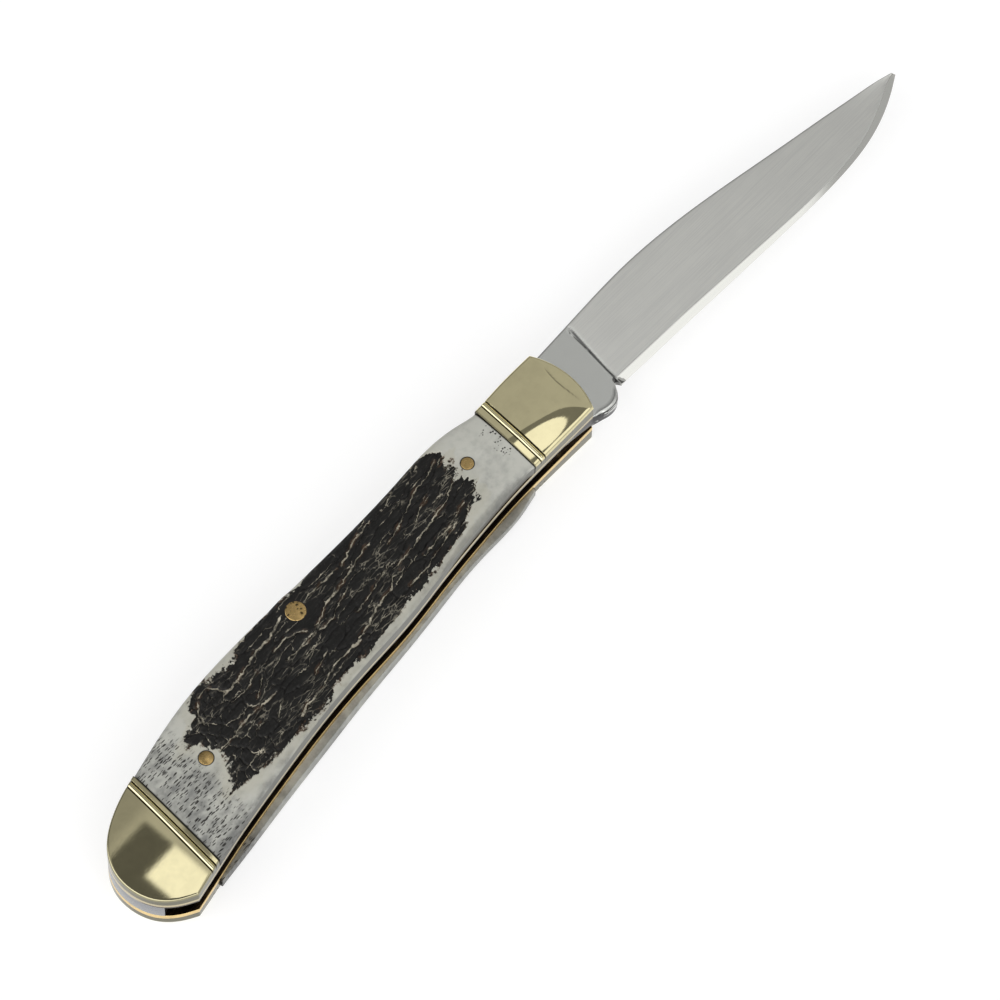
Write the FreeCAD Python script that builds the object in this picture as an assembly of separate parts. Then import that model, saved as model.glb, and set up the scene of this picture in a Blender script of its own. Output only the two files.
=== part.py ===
import FreeCAD, Part

import math
import os

from FreeCAD import Vector

# Single-blade folding pocket knife, shown open. Lengths are in millimetres, angles in degrees.
# The origin lies on the pivot axis, in the plane that the knife rests on. X runs to the blade's tip,
# Y to the back with the spring and Z up through the thickness. The pile side is the upper one.

# Handle outline
HANDLE_LENGTH = 104.5
NOSE_REACH = 7.8
NOSE_BULGE = 1.75
BACK_HEIGHT = 8.0
SLOT_DEPTH = 4.9
BUTT_DROP = 15.25

# Stack through the thickness
SPRING_THICKNESS = 2.9
LINER_THICKNESS = 1.0
COVER_THICKNESS = 2.75

# Bolsters and scales, together called covers
CROWN_REACH = 2.8
SCALE_BULGE = 0.35
MARK_SCALE_BELLY = 1.3
FRONT_BOLSTER_LENGTH = 14.5
REAR_BOLSTER_LENGTH = 12.85
FRONT_JOINT_TILT = 2.3
REAR_JOINT_TILT = 3.75
GROOVE_OFFSET = 0.95
GROOVE_WIDTH = 0.36
GROOVE_DEPTH = 0.24
BEAD_WIDTH = 0.5

# Blade
BLADE_REACH = 81.8
SPINE_HEIGHT = 8.98
EDGE_DROP = 4.8
PLUNGE_REACH = 13.5
PLUNGE_TILT = 5.5
PLUNGE_WHEEL_RADIUS = 3.0
EDGE_THICKNESS = 0.06
HEEL_BEVEL_WIDTH = 1.35
SHOULDER_THICKNESS = 0.56
TIP_THICKNESS = 0.9
CHOIL_HEIGHT = 2.45
KICK_REACH = 9.7
KICK_DROP = 5.75
CHOIL_WIDTH = 0.65
STOP_REACH = 6.5
CAM_FLAT = 4.4
CAM_LIFT = 0.5
CLOSING_TRAVEL = 177.0
NICK_REACH = 33.0
NICK_LENGTH = 12.0
NICK_WIDTH = 1.3
NICK_DEPTH = 0.5
NICK_LEAN = 18.0
NICK_BELOW_SPINE = 1.9

# Backspring
SPRING_HEAD_REACH = 1.8
BOSS_WALL = 1.1

# Pins: the spring's is placed from the back, the rear ones from the butt, the rear scale's from its joint
PIVOT_RADIUS = 1.2
PIVOT_CLEARANCE = 0.03
SPRING_PIN_RADIUS = 1.2
SPRING_PIN_HEAD_RADIUS = 1.6
PIN_HEAD_DEPTH = 0.8
SPRING_PIN_REACH = 48.4
SPRING_PIN_DEPTH = 3.1
REAR_PIN_RADIUS = 1.2
REAR_PIN_REACH = 6.2
REAR_PIN_DROP = 2.6
FRONT_SCALE_PIN_RADIUS = 1.0
FRONT_SCALE_PIN_REACH = 6.8
FRONT_SCALE_PIN_HEIGHT = 2.7
REAR_SCALE_PIN_RADIUS = 1.1
REAR_SCALE_PIN_REACH = 9.45
REAR_SCALE_PIN_DROP = 1.6
RIVET_RADIUS = 0.9
FRONT_RIVET_REACH = 4.6
FRONT_RIVET_HEIGHT = 3.4
REAR_RIVET_REACH = 6.7
REAR_RIVET_DROP = 9.2

# Clearances, and how far a cutting tool runs past what it cuts
TANG_SIDE_CLEARANCE = 0.03
SPRING_GAP = 0.06
PIN_FIT = 0.02
OVERRUN = 3.0

# Back of the handle from its front corner: share of the handle's length, of the back's height, of the bulge
BACK_SHARES = [
    (0.0842, 0.994, 0.0),
    (0.1390, 0.962, 0.0),
    (0.1670, 0.985, 1.2),
    (0.2060, 1.053, 1.3),
    (0.2900, 1.025, 1.0),
    (0.4600, 0.960, 1.0),
    (0.6300, 0.957, 1.0),
    (0.7450, 0.853, 1.0),
    (0.8300, 0.655, 0.6),
    (0.8770, 0.525, 0.0),
    (0.9360, 0.280, 0.0),
]
# Butt from the back down to its corner: share of the handle's length, of the butt's drop
BUTT_SHARES = [
    (0.9770, 0.040),
    (0.9955, 0.245),
    (0.9995, 0.470),
    (0.9880, 0.735),
    (0.9630, 0.912),
    (0.9405, 1.000),
]
# Slot side from the butt's corner: share of the handle's length, of the drop past the front, of the lower
# scale's belly
SLOT_SHARES = [
    (0.8880, 0.885, 0.25),
    (0.8400, 0.780, 0.57),
    (0.7450, 0.609, 0.78),
    (0.6360, 0.444, 0.94),
    (0.5350, 0.347, 0.69),
    (0.4350, 0.285, 0.39),
    (0.3500, 0.178, 0.45),
    (0.2540, 0.076, 0.76),
    (0.1850, 0.024, 0.91),
    (0.1390, 0.008, 0.20),
    (0.0750, 0.003, 0.00),
]
# A cover's roll-off from wall to land: share of its thickness, of the crown's reach
CROWN_SHARES = [(0.0, 0.0), (0.40, 0.0), (0.72, 0.012), (0.88, 0.10), (0.965, 0.36), (1.0, 1.0)]

# Ground part of the blade from plunge to tip: spine and edge as shares of reach and height,
# then shares of the tang's thickness at the spine, of the bevel's width and of the shoulder's thickness
BLADE_SHARES = [
    (0.175, 0.937, 0.168, 0.792, 1.00, 1.00, 1.00),
    (0.262, 0.981, 0.256, 0.835, 0.98, 1.02, 1.00),
    (0.349, 1.000, 0.349, 0.865, 0.96, 1.00, 1.00),
    (0.440, 0.960, 0.440, 0.910, 0.93, 0.93, 1.00),
    (0.544, 0.854, 0.544, 0.953, 0.86, 0.80, 1.00),
    (0.660, 0.690, 0.660, 0.996, 0.76, 0.55, 0.98),
    (0.758, 0.546, 0.764, 0.969, 0.65, 0.42, 0.95),
    (0.844, 0.423, 0.856, 0.800, 0.54, 0.48, 0.92),
    (0.917, 0.312, 0.929, 0.438, 0.46, 0.50, 0.90),
    (0.968, 0.228, 0.976, 0.063, 0.40, 0.42, 0.85),
    (0.996, 0.181, 1.000, -0.250, 0.33, 0.10, 0.60),
]
# Spring's inner edge behind its head: share of the handle's length, of the back's height
SPRING_INNER_SHARES = [
    (0.1450, 0.672),
    (0.1950, 0.664),
    (0.3150, 0.615),
    (0.5050, 0.580),
    (0.6500, 0.525),
    (0.7650, 0.320),
    (0.8420, -0.040),
    (0.8900, -0.520),
    (0.9270, -1.210),
]
# Where the spring's end meets the butt: share of the handle's length, of the butt's drop
SPRING_END_SHARES = (0.9800, 0.807)
# Kick behind and before its lowest point: share of the way to the kick's reach or front, of its drop
KICK_BACK_SHARES = (0.50, 0.945)
KICK_FRONT_SHARES = [(0.44, 0.945), (0.76, 0.800)]
CHOIL_ROUND_SHARE = 0.38

TANG_THICKNESS = SPRING_THICKNESS - 2 * TANG_SIDE_CLEARANCE
LOWER_LINER_Z = COVER_THICKNESS
SLOT_Z = LOWER_LINER_Z + LINER_THICKNESS
MID_Z = SLOT_Z + SPRING_THICKNESS / 2
UPPER_LINER_Z = SLOT_Z + SPRING_THICKNESS
UPPER_COVER_Z = UPPER_LINER_Z + LINER_THICKNESS
TOP_Z = UPPER_COVER_Z + COVER_THICKNESS
BUTT_X = NOSE_REACH - HANDLE_LENGTH
FRONT_JOINT_X = NOSE_REACH - FRONT_BOLSTER_LENGTH
REAR_JOINT_X = BUTT_X + REAR_BOLSTER_LENGTH
UP = Vector(0, 0, 1)

PIVOT = (0, 0)
SPRING_PIN = (-SPRING_PIN_REACH, BACK_HEIGHT - SPRING_PIN_DEPTH)
REAR_PIN = (BUTT_X + REAR_PIN_REACH, -REAR_PIN_DROP)
FRONT_SCALE_PIN = (FRONT_JOINT_X - FRONT_SCALE_PIN_REACH, FRONT_SCALE_PIN_HEIGHT)
REAR_SCALE_PIN = (REAR_JOINT_X + REAR_SCALE_PIN_REACH, -REAR_SCALE_PIN_DROP)
FRONT_RIVET = (NOSE_REACH - FRONT_RIVET_REACH, FRONT_RIVET_HEIGHT)
REAR_RIVET = (BUTT_X + REAR_RIVET_REACH, -REAR_RIVET_DROP)


def spline(points, parameters=None):
    """A smooth curve through points, as an edge."""
    curve = Part.BSplineCurve()
    if parameters:
        curve.interpolate(Points=points, Parameters=parameters)
    else:
        curve.interpolate(points)
    return curve.toShape()


def prism(edges, z, height):
    """The closed outline of edges in the plane z = 0, raised to z and given a height."""
    face = Part.Face(Part.Wire(Part.__sortEdges__(edges)))
    face.translate(UP * z)
    return face.extrude(UP * height)


def polygon_prism(points, z, height):
    """A straight-sided prism over points in the plane."""
    corners = [Vector(x, y, 0) for x, y in points]
    face = Part.Face(Part.makePolygon(corners + corners[:1]))
    face.translate(UP * z)
    return face.extrude(UP * height)


def along(share):
    """X of a share of the handle's length, counted from the nose."""
    return NOSE_REACH - share * HANDLE_LENGTH


def left_normal(start, end):
    """Unit vector to the left of the way from start to end."""
    way = (end - start).normalize()
    return Vector(-way.y, way.x, 0)


def moved_in(points, inset, first_normal, last_normal):
    """Points of a stretch moved inwards by inset, with mitred ends beside the neighbouring stretches."""
    normals = [left_normal(points[0], points[1])]
    normals += [left_normal(a, b) for a, b in zip(points, points[2:])]
    normals.append(left_normal(points[-2], points[-1]))
    moves = list(normals)
    moves[0] = (normals[0] + first_normal) * (1 / (1 + normals[0].dot(first_normal)))
    moves[-1] = (normals[-1] + last_normal) * (1 / (1 + normals[-1].dot(last_normal)))
    return [p + move * inset for p, move in zip(points, moves)]


def chord_parameters(points):
    """Curve parameters that grow with the distance between points."""
    parameters = [0.0]
    for a, b in zip(points, points[1:]):
        parameters.append(parameters[-1] + (b - a).Length)
    return parameters


def handle_edges(bulge=0, belly=0, inset=0):
    """The handle's outline as back, slot side and nose, bulged at both sides and moved in."""
    front_x = NOSE_REACH - NOSE_BULGE
    top = Vector(front_x, BACK_HEIGHT, 0)
    low = Vector(front_x, -SLOT_DEPTH, 0)
    slot_fall = BUTT_DROP - SLOT_DEPTH
    back = [top]
    back += [Vector(along(s), h * BACK_HEIGHT + swell * bulge, 0) for s, h, swell in BACK_SHARES]
    back += [Vector(along(s), -drop * BUTT_DROP, 0) for s, drop in BUTT_SHARES]
    slot = [back[-1]]
    slot += [Vector(along(s), -SLOT_DEPTH - d * slot_fall - swell * belly, 0) for s, d, swell in SLOT_SHARES]
    slot.append(low)
    nose_turn = 2 * math.atan(2 * NOSE_BULGE / (BACK_HEIGHT + SLOT_DEPTH))
    nose_low_normal = Vector(-math.cos(nose_turn), math.sin(nose_turn), 0)
    nose_top_normal = Vector(-math.cos(nose_turn), -math.sin(nose_turn), 0)
    back_in = moved_in(back, inset, nose_top_normal, left_normal(slot[0], slot[1]))
    slot_in = moved_in(slot, inset, left_normal(back[-2], back[-1]), nose_low_normal)
    nose_mid = Vector(NOSE_REACH - inset, (BACK_HEIGHT - SLOT_DEPTH) / 2, 0)
    return [
        spline(back_in, chord_parameters(back)),
        spline(slot_in, chord_parameters(slot)),
        Part.Arc(slot_in[-1], nose_mid, back_in[0]).toShape(),
    ]


def cover_blank(bulge, belly, thickness, grow=0):
    """A crowned plate over the upper liner: walls, roll-off and flat land, lofted through outlines."""
    wires = []
    for rise, reach in CROWN_SHARES:
        wire = Part.Wire(handle_edges(bulge, belly, reach * CROWN_REACH - grow))
        wire.translate(UP * (UPPER_COVER_Z + rise * thickness))
        wires.append(wire)
    return Part.makeLoft(wires, True, False)


def slab(x_a, x_b, tilt):
    """A block across the handle between two parallel planes that cross the X axis at x_a and x_b."""
    reach = BUTT_DROP + OVERRUN
    lean = reach * math.tan(math.radians(tilt))
    corners = [(x_a - lean, -reach), (x_b - lean, -reach), (x_b + lean, reach), (x_a + lean, reach)]
    return polygon_prism(corners, UPPER_LINER_Z, TOP_Z - UPPER_LINER_Z + OVERRUN)


def pin(place, radius, z_low, z_high):
    """A straight round pin."""
    return Part.makeCylinder(radius, z_high - z_low, Vector(place[0], place[1], z_low))


def headed_pin(place, radius, head_radius):
    """A pin through the whole handle whose two ends are spread into cones in the covers."""
    base = Vector(place[0], place[1], 0)
    shank = Part.makeCylinder(radius, TOP_Z, base)
    low_head = Part.makeCone(head_radius, radius, PIN_HEAD_DEPTH, base)
    high_head = Part.makeCone(radius, head_radius, PIN_HEAD_DEPTH, base + UP * (TOP_Z - PIN_HEAD_DEPTH))
    return shank.fuse([low_head, high_head]).removeSplitter()


def grooves(joint_x, tilt, side):
    """The two decorative grooves of a bolster, with a bead between them, beside its joint with the scale."""
    below = cover_blank(0, 0, COVER_THICKNESS - GROOVE_DEPTH, GROOVE_DEPTH)
    cutters = []
    for step in range(2):
        near = joint_x + side * (GROOVE_OFFSET + step * (GROOVE_WIDTH + BEAD_WIDTH))
        far = near + side * GROOVE_WIDTH
        cutters.append(slab(min(near, far), max(near, far), tilt).cut(below))
    return cutters


def make_front_bolster():
    """Upper front bolster, with holes for the pivot pin and its rivet."""
    blank = cover_blank(0, 0, COVER_THICKNESS)
    zone = slab(FRONT_JOINT_X, NOSE_REACH + OVERRUN, FRONT_JOINT_TILT)
    holes = [
        pin(PIVOT, PIVOT_RADIUS + PIN_FIT, SLOT_Z, TOP_Z + OVERRUN),
        pin(FRONT_RIVET, RIVET_RADIUS + PIN_FIT, SLOT_Z, TOP_Z + OVERRUN),
    ]
    return blank.common(zone).cut(holes + grooves(FRONT_JOINT_X, FRONT_JOINT_TILT, 1))


def make_rear_bolster():
    """Upper rear bolster, with holes for the rear pin and its rivet."""
    blank = cover_blank(0, 0, COVER_THICKNESS)
    zone = slab(BUTT_X - OVERRUN, REAR_JOINT_X, REAR_JOINT_TILT)
    holes = [
        pin(REAR_PIN, REAR_PIN_RADIUS + PIN_FIT, SLOT_Z, TOP_Z + OVERRUN),
        pin(REAR_RIVET, RIVET_RADIUS + PIN_FIT, SLOT_Z, TOP_Z + OVERRUN),
    ]
    return blank.common(zone).cut(holes + grooves(REAR_JOINT_X, REAR_JOINT_TILT, -1))


def make_scale(belly):
    """A scale between the bolsters, fuller than the liner at its back and by belly at the slot."""
    blank = cover_blank(SCALE_BULGE, belly, COVER_THICKNESS)
    front = slab(FRONT_JOINT_X, NOSE_REACH + OVERRUN, FRONT_JOINT_TILT)
    rear = slab(BUTT_X - OVERRUN, REAR_JOINT_X, REAR_JOINT_TILT)
    holes = [
        headed_pin(SPRING_PIN, SPRING_PIN_RADIUS + PIN_FIT, SPRING_PIN_HEAD_RADIUS + PIN_FIT),
        pin(FRONT_SCALE_PIN, FRONT_SCALE_PIN_RADIUS + PIN_FIT, SLOT_Z, TOP_Z + OVERRUN),
        pin(REAR_SCALE_PIN, REAR_SCALE_PIN_RADIUS + PIN_FIT, SLOT_Z, TOP_Z + OVERRUN),
    ]
    return blank.cut([front, rear] + holes)


def make_liner():
    """Upper brass liner: the whole outline as a thin plate, drilled for every pin and rivet of its side."""
    plate = prism(handle_edges(), UPPER_LINER_Z, LINER_THICKNESS)
    drilled = [
        (PIVOT, PIVOT_RADIUS),
        (SPRING_PIN, SPRING_PIN_RADIUS),
        (REAR_PIN, REAR_PIN_RADIUS),
        (FRONT_SCALE_PIN, FRONT_SCALE_PIN_RADIUS),
        (REAR_SCALE_PIN, REAR_SCALE_PIN_RADIUS),
        (FRONT_RIVET, RIVET_RADIUS),
        (REAR_RIVET, RIVET_RADIUS),
    ]
    return plate.cut([pin(place, radius + PIN_FIT, SLOT_Z, TOP_Z) for place, radius in drilled])


def make_backspring():
    """Spring that fills the back between the liners, its head on the tang and its tail round the butt."""
    blank = prism(handle_edges(), SLOT_Z, SPRING_THICKNESS)
    front_x = STOP_REACH - SPRING_GAP
    head_y = CAM_FLAT + SPRING_GAP
    low = -BUTT_DROP - OVERRUN
    head_rear = Vector(-SPRING_HEAD_REACH, head_y, 0)
    inner = [head_rear] + [Vector(along(s), h * BACK_HEIGHT, 0) for s, h in SPRING_INNER_SHARES]
    end = Vector(along(SPRING_END_SHARES[0]), -SPRING_END_SHARES[1] * BUTT_DROP, 0)
    past_end = end + (end - inner[-1]).normalize() * OVERRUN
    turns = [
        past_end,
        Vector(past_end.x, low, 0),
        Vector(NOSE_REACH + OVERRUN, low, 0),
        Vector(NOSE_REACH + OVERRUN, BACK_HEIGHT + OVERRUN, 0),
        Vector(front_x, BACK_HEIGHT + OVERRUN, 0),
        Vector(front_x, head_y, 0),
        head_rear,
    ]
    edges = [spline(inner), Part.makeLine(inner[-1], past_end)]
    edges += [Part.makeLine(a, b) for a, b in zip(turns, turns[1:])]
    well = prism(edges, SLOT_Z - OVERRUN, SPRING_THICKNESS + 2 * OVERRUN)
    boss = pin(SPRING_PIN, SPRING_PIN_RADIUS + BOSS_WALL, SLOT_Z, UPPER_LINER_Z)
    holes = [
        pin(SPRING_PIN, SPRING_PIN_RADIUS + PIN_FIT, 0, TOP_Z),
        pin(REAR_PIN, REAR_PIN_RADIUS + PIN_FIT, 0, TOP_Z),
    ]
    return blank.cut(well).fuse(boss.common(blank)).removeSplitter().cut(holes)


def blade_section(row):
    """One closed cross-section of the ground blade: spine, flanks, bevel shoulders and edge."""
    spine_x, spine_y, edge_x, edge_y, spine_t, bevel, shoulder = row
    spine = Vector(spine_x * BLADE_REACH, spine_y * SPINE_HEIGHT, MID_Z)
    edge = Vector(edge_x * BLADE_REACH, -edge_y * EDGE_DROP, MID_Z)
    up_way = (spine - edge).normalize()
    ridge = edge + up_way * (bevel * HEEL_BEVEL_WIDTH)
    taper = TIP_THICKNESS + (TANG_THICKNESS - TIP_THICKNESS) * (spine_t - BLADE_SHARES[-1][4]) / (
        1 - BLADE_SHARES[-1][4]
    )
    halves = [(spine, taper / 2), (ridge, shoulder * SHOULDER_THICKNESS / 2), (edge, EDGE_THICKNESS / 2)]
    upper = [place + UP * half for place, half in halves]
    lower = [place - UP * half for place, half in reversed(halves)]
    corners = upper + lower
    return Part.makePolygon(corners + corners[:1])


def plunge_x(y):
    """X of the plunge line, where the grind begins, at height y."""
    return PLUNGE_REACH + y * math.tan(math.radians(PLUNGE_TILT))


def wheel_depth():
    """How deep the plunge's round goes, which is below the thinnest part of the ground flank."""
    return TANG_THICKNESS / 2 - SHOULDER_THICKNESS / 4


def wheel_run():
    """How far the plunge's round runs forward from the plunge line to its deepest line."""
    depth = wheel_depth()
    return math.sqrt(2 * PLUNGE_WHEEL_RADIUS * depth - depth**2)


def make_tang():
    """Tang and ricasso: cam flats, stop, kick and choil, ending in the round of the plunge."""
    turn = math.radians(CLOSING_TRAVEL - 180)
    cam_radius = CAM_FLAT + CAM_LIFT
    half_flat = math.sqrt(cam_radius**2 - CAM_FLAT**2)
    flat_way = Vector(math.cos(turn), math.sin(turn), 0)
    flat_foot = Vector(math.sin(turn), -math.cos(turn), 0) * CAM_FLAT
    open_rear = Vector(-half_flat, CAM_FLAT, 0)
    closed_rear = flat_foot - flat_way * half_flat
    closed_front = flat_foot + flat_way * STOP_REACH
    kick_low = Vector(KICK_REACH, -KICK_DROP, 0)
    back_share, back_drop_share = KICK_BACK_SHARES
    back_x = closed_front.x + back_share * (KICK_REACH - closed_front.x)
    kick = [closed_front, Vector(back_x, -back_drop_share * KICK_DROP, 0), kick_low]
    choil_top = Vector(plunge_x(-CHOIL_HEIGHT), -CHOIL_HEIGHT, 0)
    kick_front = choil_top.x - CHOIL_WIDTH
    kick_span = kick_front - KICK_REACH
    kick += [Vector(KICK_REACH + s * kick_span, -drop * KICK_DROP, 0) for s, drop in KICK_FRONT_SHARES]
    kick_top = Vector(kick_front, -CHOIL_HEIGHT - CHOIL_ROUND_SHARE * CHOIL_HEIGHT, 0)
    kick.append(kick_top)
    run = wheel_run()
    choil_mid = Vector((kick_front + choil_top.x) / 2, -CHOIL_HEIGHT, 0)
    block_low = choil_top + Vector(run, 0, 0)
    first = BLADE_SHARES[0]
    second = BLADE_SHARES[1]
    spine_a = Vector(first[0] * BLADE_REACH, first[1] * SPINE_HEIGHT, 0)
    spine_b = Vector(second[0] * BLADE_REACH, second[1] * SPINE_HEIGHT, 0)
    spine_way = (spine_b - spine_a).normalize()
    block_top = spine_a + spine_way * run
    stop_top = Vector(STOP_REACH, BACK_HEIGHT, 0)
    stop_low = Vector(STOP_REACH, CAM_FLAT, 0)
    cam_mid = Vector(-cam_radius, 0, 0)
    edges = [
        Part.Arc(open_rear, cam_mid, closed_rear).toShape(),
        Part.makeLine(closed_rear, closed_front),
        spline(kick),
        Part.Arc(kick_top, choil_mid, choil_top).toShape(),
        Part.makeLine(choil_top, block_low),
        Part.makeLine(block_low, block_top),
        Part.makeLine(block_top, spine_a),
        Part.makeLine(spine_a, stop_top),
        Part.makeLine(stop_top, stop_low),
        Part.makeLine(stop_low, open_rear),
    ]
    return prism(edges, MID_Z - TANG_THICKNESS / 2, TANG_THICKNESS)


def plunge_wheel(side):
    """The round that the grinding wheel leaves on one face, along the plunge line."""
    reach = SPINE_HEIGHT + OVERRUN
    centre_z = MID_Z + side * (TANG_THICKNESS / 2 - wheel_depth() + PLUNGE_WHEEL_RADIUS)
    start = Vector(plunge_x(-reach) + wheel_run(), -reach, centre_z)
    way = Vector(plunge_x(reach) + wheel_run(), reach, centre_z) - start
    return Part.makeCylinder(PLUNGE_WHEEL_RADIUS, way.Length, start, way)


def nail_nick():
    """Cutter for the nail nick: a thin wheel leaning into the lower face, deepest on the spine's side."""
    wheel_radius = ((NICK_LENGTH / 2) ** 2 + NICK_DEPTH**2) / (2 * NICK_DEPTH)
    lean = math.radians(NICK_LEAN)
    axis = Vector(0, math.cos(lean), math.sin(lean))
    spoke = Vector(0, -math.sin(lean), math.cos(lean)) * wheel_radius
    deepest = Vector(NICK_REACH, SPINE_HEIGHT - NICK_BELOW_SPINE, MID_Z - TANG_THICKNESS / 2 + NICK_DEPTH)
    return Part.makeCylinder(wheel_radius, NICK_WIDTH, deepest - spoke - axis * NICK_WIDTH, axis)


def make_blade():
    """Blade in one piece: tang, ricasso and ground length, bored for the pivot."""
    ground = Part.makeLoft([blade_section(row) for row in BLADE_SHARES], True, False)
    tang = make_tang().cut([plunge_wheel(1), plunge_wheel(-1)])
    bore = pin(PIVOT, PIVOT_RADIUS + PIVOT_CLEARANCE, 0, TOP_Z)
    return tang.fuse(ground).removeSplitter().cut([bore, nail_nick()])


def under(shape):
    """Mirror image of an upper piece under the knife's middle plane."""
    return shape.mirror(UP * MID_Z, UP)


def both_sides(shape, name):
    """An upper piece and its mirror image, by node name."""
    return {"pile_side_" + name: shape, "mark_side_" + name: under(shape)}


def make_pieces():
    """Every piece of the knife by node name."""
    pieces = {"blade": make_blade(), "backspring": make_backspring()}
    pieces.update(both_sides(make_liner(), "liner"))
    pieces.update(both_sides(make_front_bolster(), "front_bolster"))
    pieces.update(both_sides(make_rear_bolster(), "rear_bolster"))
    pieces["pile_side_scale"] = make_scale(0)
    pieces["mark_side_scale"] = under(make_scale(MARK_SCALE_BELLY))
    short_pins = [
        ("front_scale_pin", FRONT_SCALE_PIN, FRONT_SCALE_PIN_RADIUS),
        ("rear_scale_pin", REAR_SCALE_PIN, REAR_SCALE_PIN_RADIUS),
        ("front_bolster_rivet", FRONT_RIVET, RIVET_RADIUS),
        ("rear_bolster_rivet", REAR_RIVET, RIVET_RADIUS),
    ]
    for name, place, radius in short_pins:
        pieces.update(both_sides(pin(place, radius, UPPER_LINER_Z, TOP_Z), name))
    pieces["pivot_pin"] = pin(PIVOT, PIVOT_RADIUS, 0, TOP_Z)
    pieces["rear_pin"] = pin(REAR_PIN, REAR_PIN_RADIUS, 0, TOP_Z)
    pieces["spring_pin"] = headed_pin(SPRING_PIN, SPRING_PIN_RADIUS, SPRING_PIN_HEAD_RADIUS)
    return pieces


os.makedirs("parts", exist_ok=True)
for node, shape in make_pieces().items():
    shape.exportStep("parts/" + node + ".step")
    print(node, round(shape.Volume, 2))
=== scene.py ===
import math
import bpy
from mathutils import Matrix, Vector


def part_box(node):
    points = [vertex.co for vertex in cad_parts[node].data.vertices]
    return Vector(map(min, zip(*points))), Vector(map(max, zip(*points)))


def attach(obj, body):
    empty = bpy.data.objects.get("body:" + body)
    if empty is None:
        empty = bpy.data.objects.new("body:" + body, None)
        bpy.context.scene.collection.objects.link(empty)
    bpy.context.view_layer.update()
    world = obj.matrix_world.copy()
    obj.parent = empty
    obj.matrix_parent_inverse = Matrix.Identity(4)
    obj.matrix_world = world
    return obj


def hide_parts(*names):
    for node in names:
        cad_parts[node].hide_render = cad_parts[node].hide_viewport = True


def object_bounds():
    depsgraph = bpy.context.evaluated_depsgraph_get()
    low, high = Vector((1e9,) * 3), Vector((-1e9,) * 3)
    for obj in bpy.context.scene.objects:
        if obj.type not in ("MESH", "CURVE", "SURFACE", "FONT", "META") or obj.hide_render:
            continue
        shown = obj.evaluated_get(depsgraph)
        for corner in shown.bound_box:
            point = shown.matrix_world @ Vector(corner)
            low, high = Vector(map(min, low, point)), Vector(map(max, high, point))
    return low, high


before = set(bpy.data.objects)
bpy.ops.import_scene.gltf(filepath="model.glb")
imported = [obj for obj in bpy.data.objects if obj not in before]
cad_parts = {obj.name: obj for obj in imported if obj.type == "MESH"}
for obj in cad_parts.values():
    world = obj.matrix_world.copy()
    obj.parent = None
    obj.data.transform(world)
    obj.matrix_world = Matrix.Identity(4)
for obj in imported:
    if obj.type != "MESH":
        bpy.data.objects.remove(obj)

import types

import bmesh
import bpy
import numpy as np
from bpy.props import FloatProperty, FloatVectorProperty, IntProperty, PointerProperty
from bpy.types import NodeSocket, Operator, Panel, PropertyGroup
from mathutils import Matrix, Vector

bl_info = {
    "name": "Stag Handled Pocket Knife",
    "version": (1, 0, 0),
    "blender": (4, 5, 0),
    "location": "3D View > Sidebar > Knife",
    "description": "Dresses a folding pocket knife: stag scales, bolsters, liners, blade, spring and pins",
    "category": "Add Mesh",
}

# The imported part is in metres; shapes are worked out in millimetres.
MM = 0.001
CAD_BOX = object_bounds()
IMAGE_SIDE = 1000
SENSOR_WIDTH = 36.0
CLIP_START = 0.01
SIDES = ("pile_side", "mark_side")
LOWER = SIDES[1]
# Pins that show in the upper scale; those of the lower scale lie in the same places
SEEN_PINS = ("pile_side_front_scale_pin", "pile_side_rear_scale_pin", "spring_pin")


def node_box(node):
    """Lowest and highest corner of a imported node, in millimetres."""
    low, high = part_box(node)
    return np.array(low) / MM, np.array(high) / MM


def place_of(node):
    """Middle of a pin in the plane, and its radius."""
    low, high = node_box(node)
    return (low + high)[:2] / 2, (high[0] - low[0]) / 2


LINER_LOW, LINER_HIGH = node_box("pile_side_liner")
COVER_LOW, COVER_HIGH = node_box("pile_side_scale")
COVER_THICKNESS = COVER_HIGH[2] - COVER_LOW[2]
BLADE_LOW, BLADE_HIGH = node_box("blade")
SPRING_LOW, SPRING_HIGH = node_box("backspring")
MID_Z = (SPRING_LOW[2] + SPRING_HIGH[2]) / 2

# Back of the handle from its front corner: shares of the handle's length, the back's height and the swell
BACK_SHARES = (
    (0.0842, 0.994, 0.0),
    (0.1390, 0.962, 0.0),
    (0.1670, 0.985, 1.2),
    (0.2060, 1.053, 1.3),
    (0.2900, 1.025, 1.0),
    (0.4600, 0.960, 1.0),
    (0.6300, 0.957, 1.0),
    (0.7450, 0.853, 1.0),
    (0.8300, 0.655, 0.6),
    (0.8770, 0.525, 0.0),
    (0.9360, 0.280, 0.0),
)
# Butt from the back down to its corner: share of the handle's length, of the butt's drop
BUTT_SHARES = (
    (0.9770, 0.040),
    (0.9955, 0.245),
    (0.9995, 0.470),
    (0.9880, 0.735),
    (0.9630, 0.912),
    (0.9405, 1.000),
)
# Slot side from the butt's corner: share of the handle's length, of the drop past the front, of the belly
SLOT_SHARES = (
    (0.8880, 0.885, 0.25),
    (0.8400, 0.780, 0.57),
    (0.7450, 0.609, 0.78),
    (0.6360, 0.444, 0.94),
    (0.5350, 0.347, 0.69),
    (0.4350, 0.285, 0.39),
    (0.3500, 0.178, 0.45),
    (0.2540, 0.076, 0.76),
    (0.1850, 0.024, 0.91),
    (0.1390, 0.008, 0.20),
    (0.0750, 0.003, 0.00),
)
# Spring's inner edge behind its head: share of the handle's length, of the back's height
SPRING_INNER_SHARES = (
    (0.1450, 0.672),
    (0.1950, 0.664),
    (0.3150, 0.615),
    (0.5050, 0.580),
    (0.6500, 0.525),
    (0.7650, 0.320),
    (0.8420, -0.040),
    (0.8900, -0.520),
    (0.9270, -1.210),
)
SPRING_END_SHARES = (0.9800, 0.807)
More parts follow.
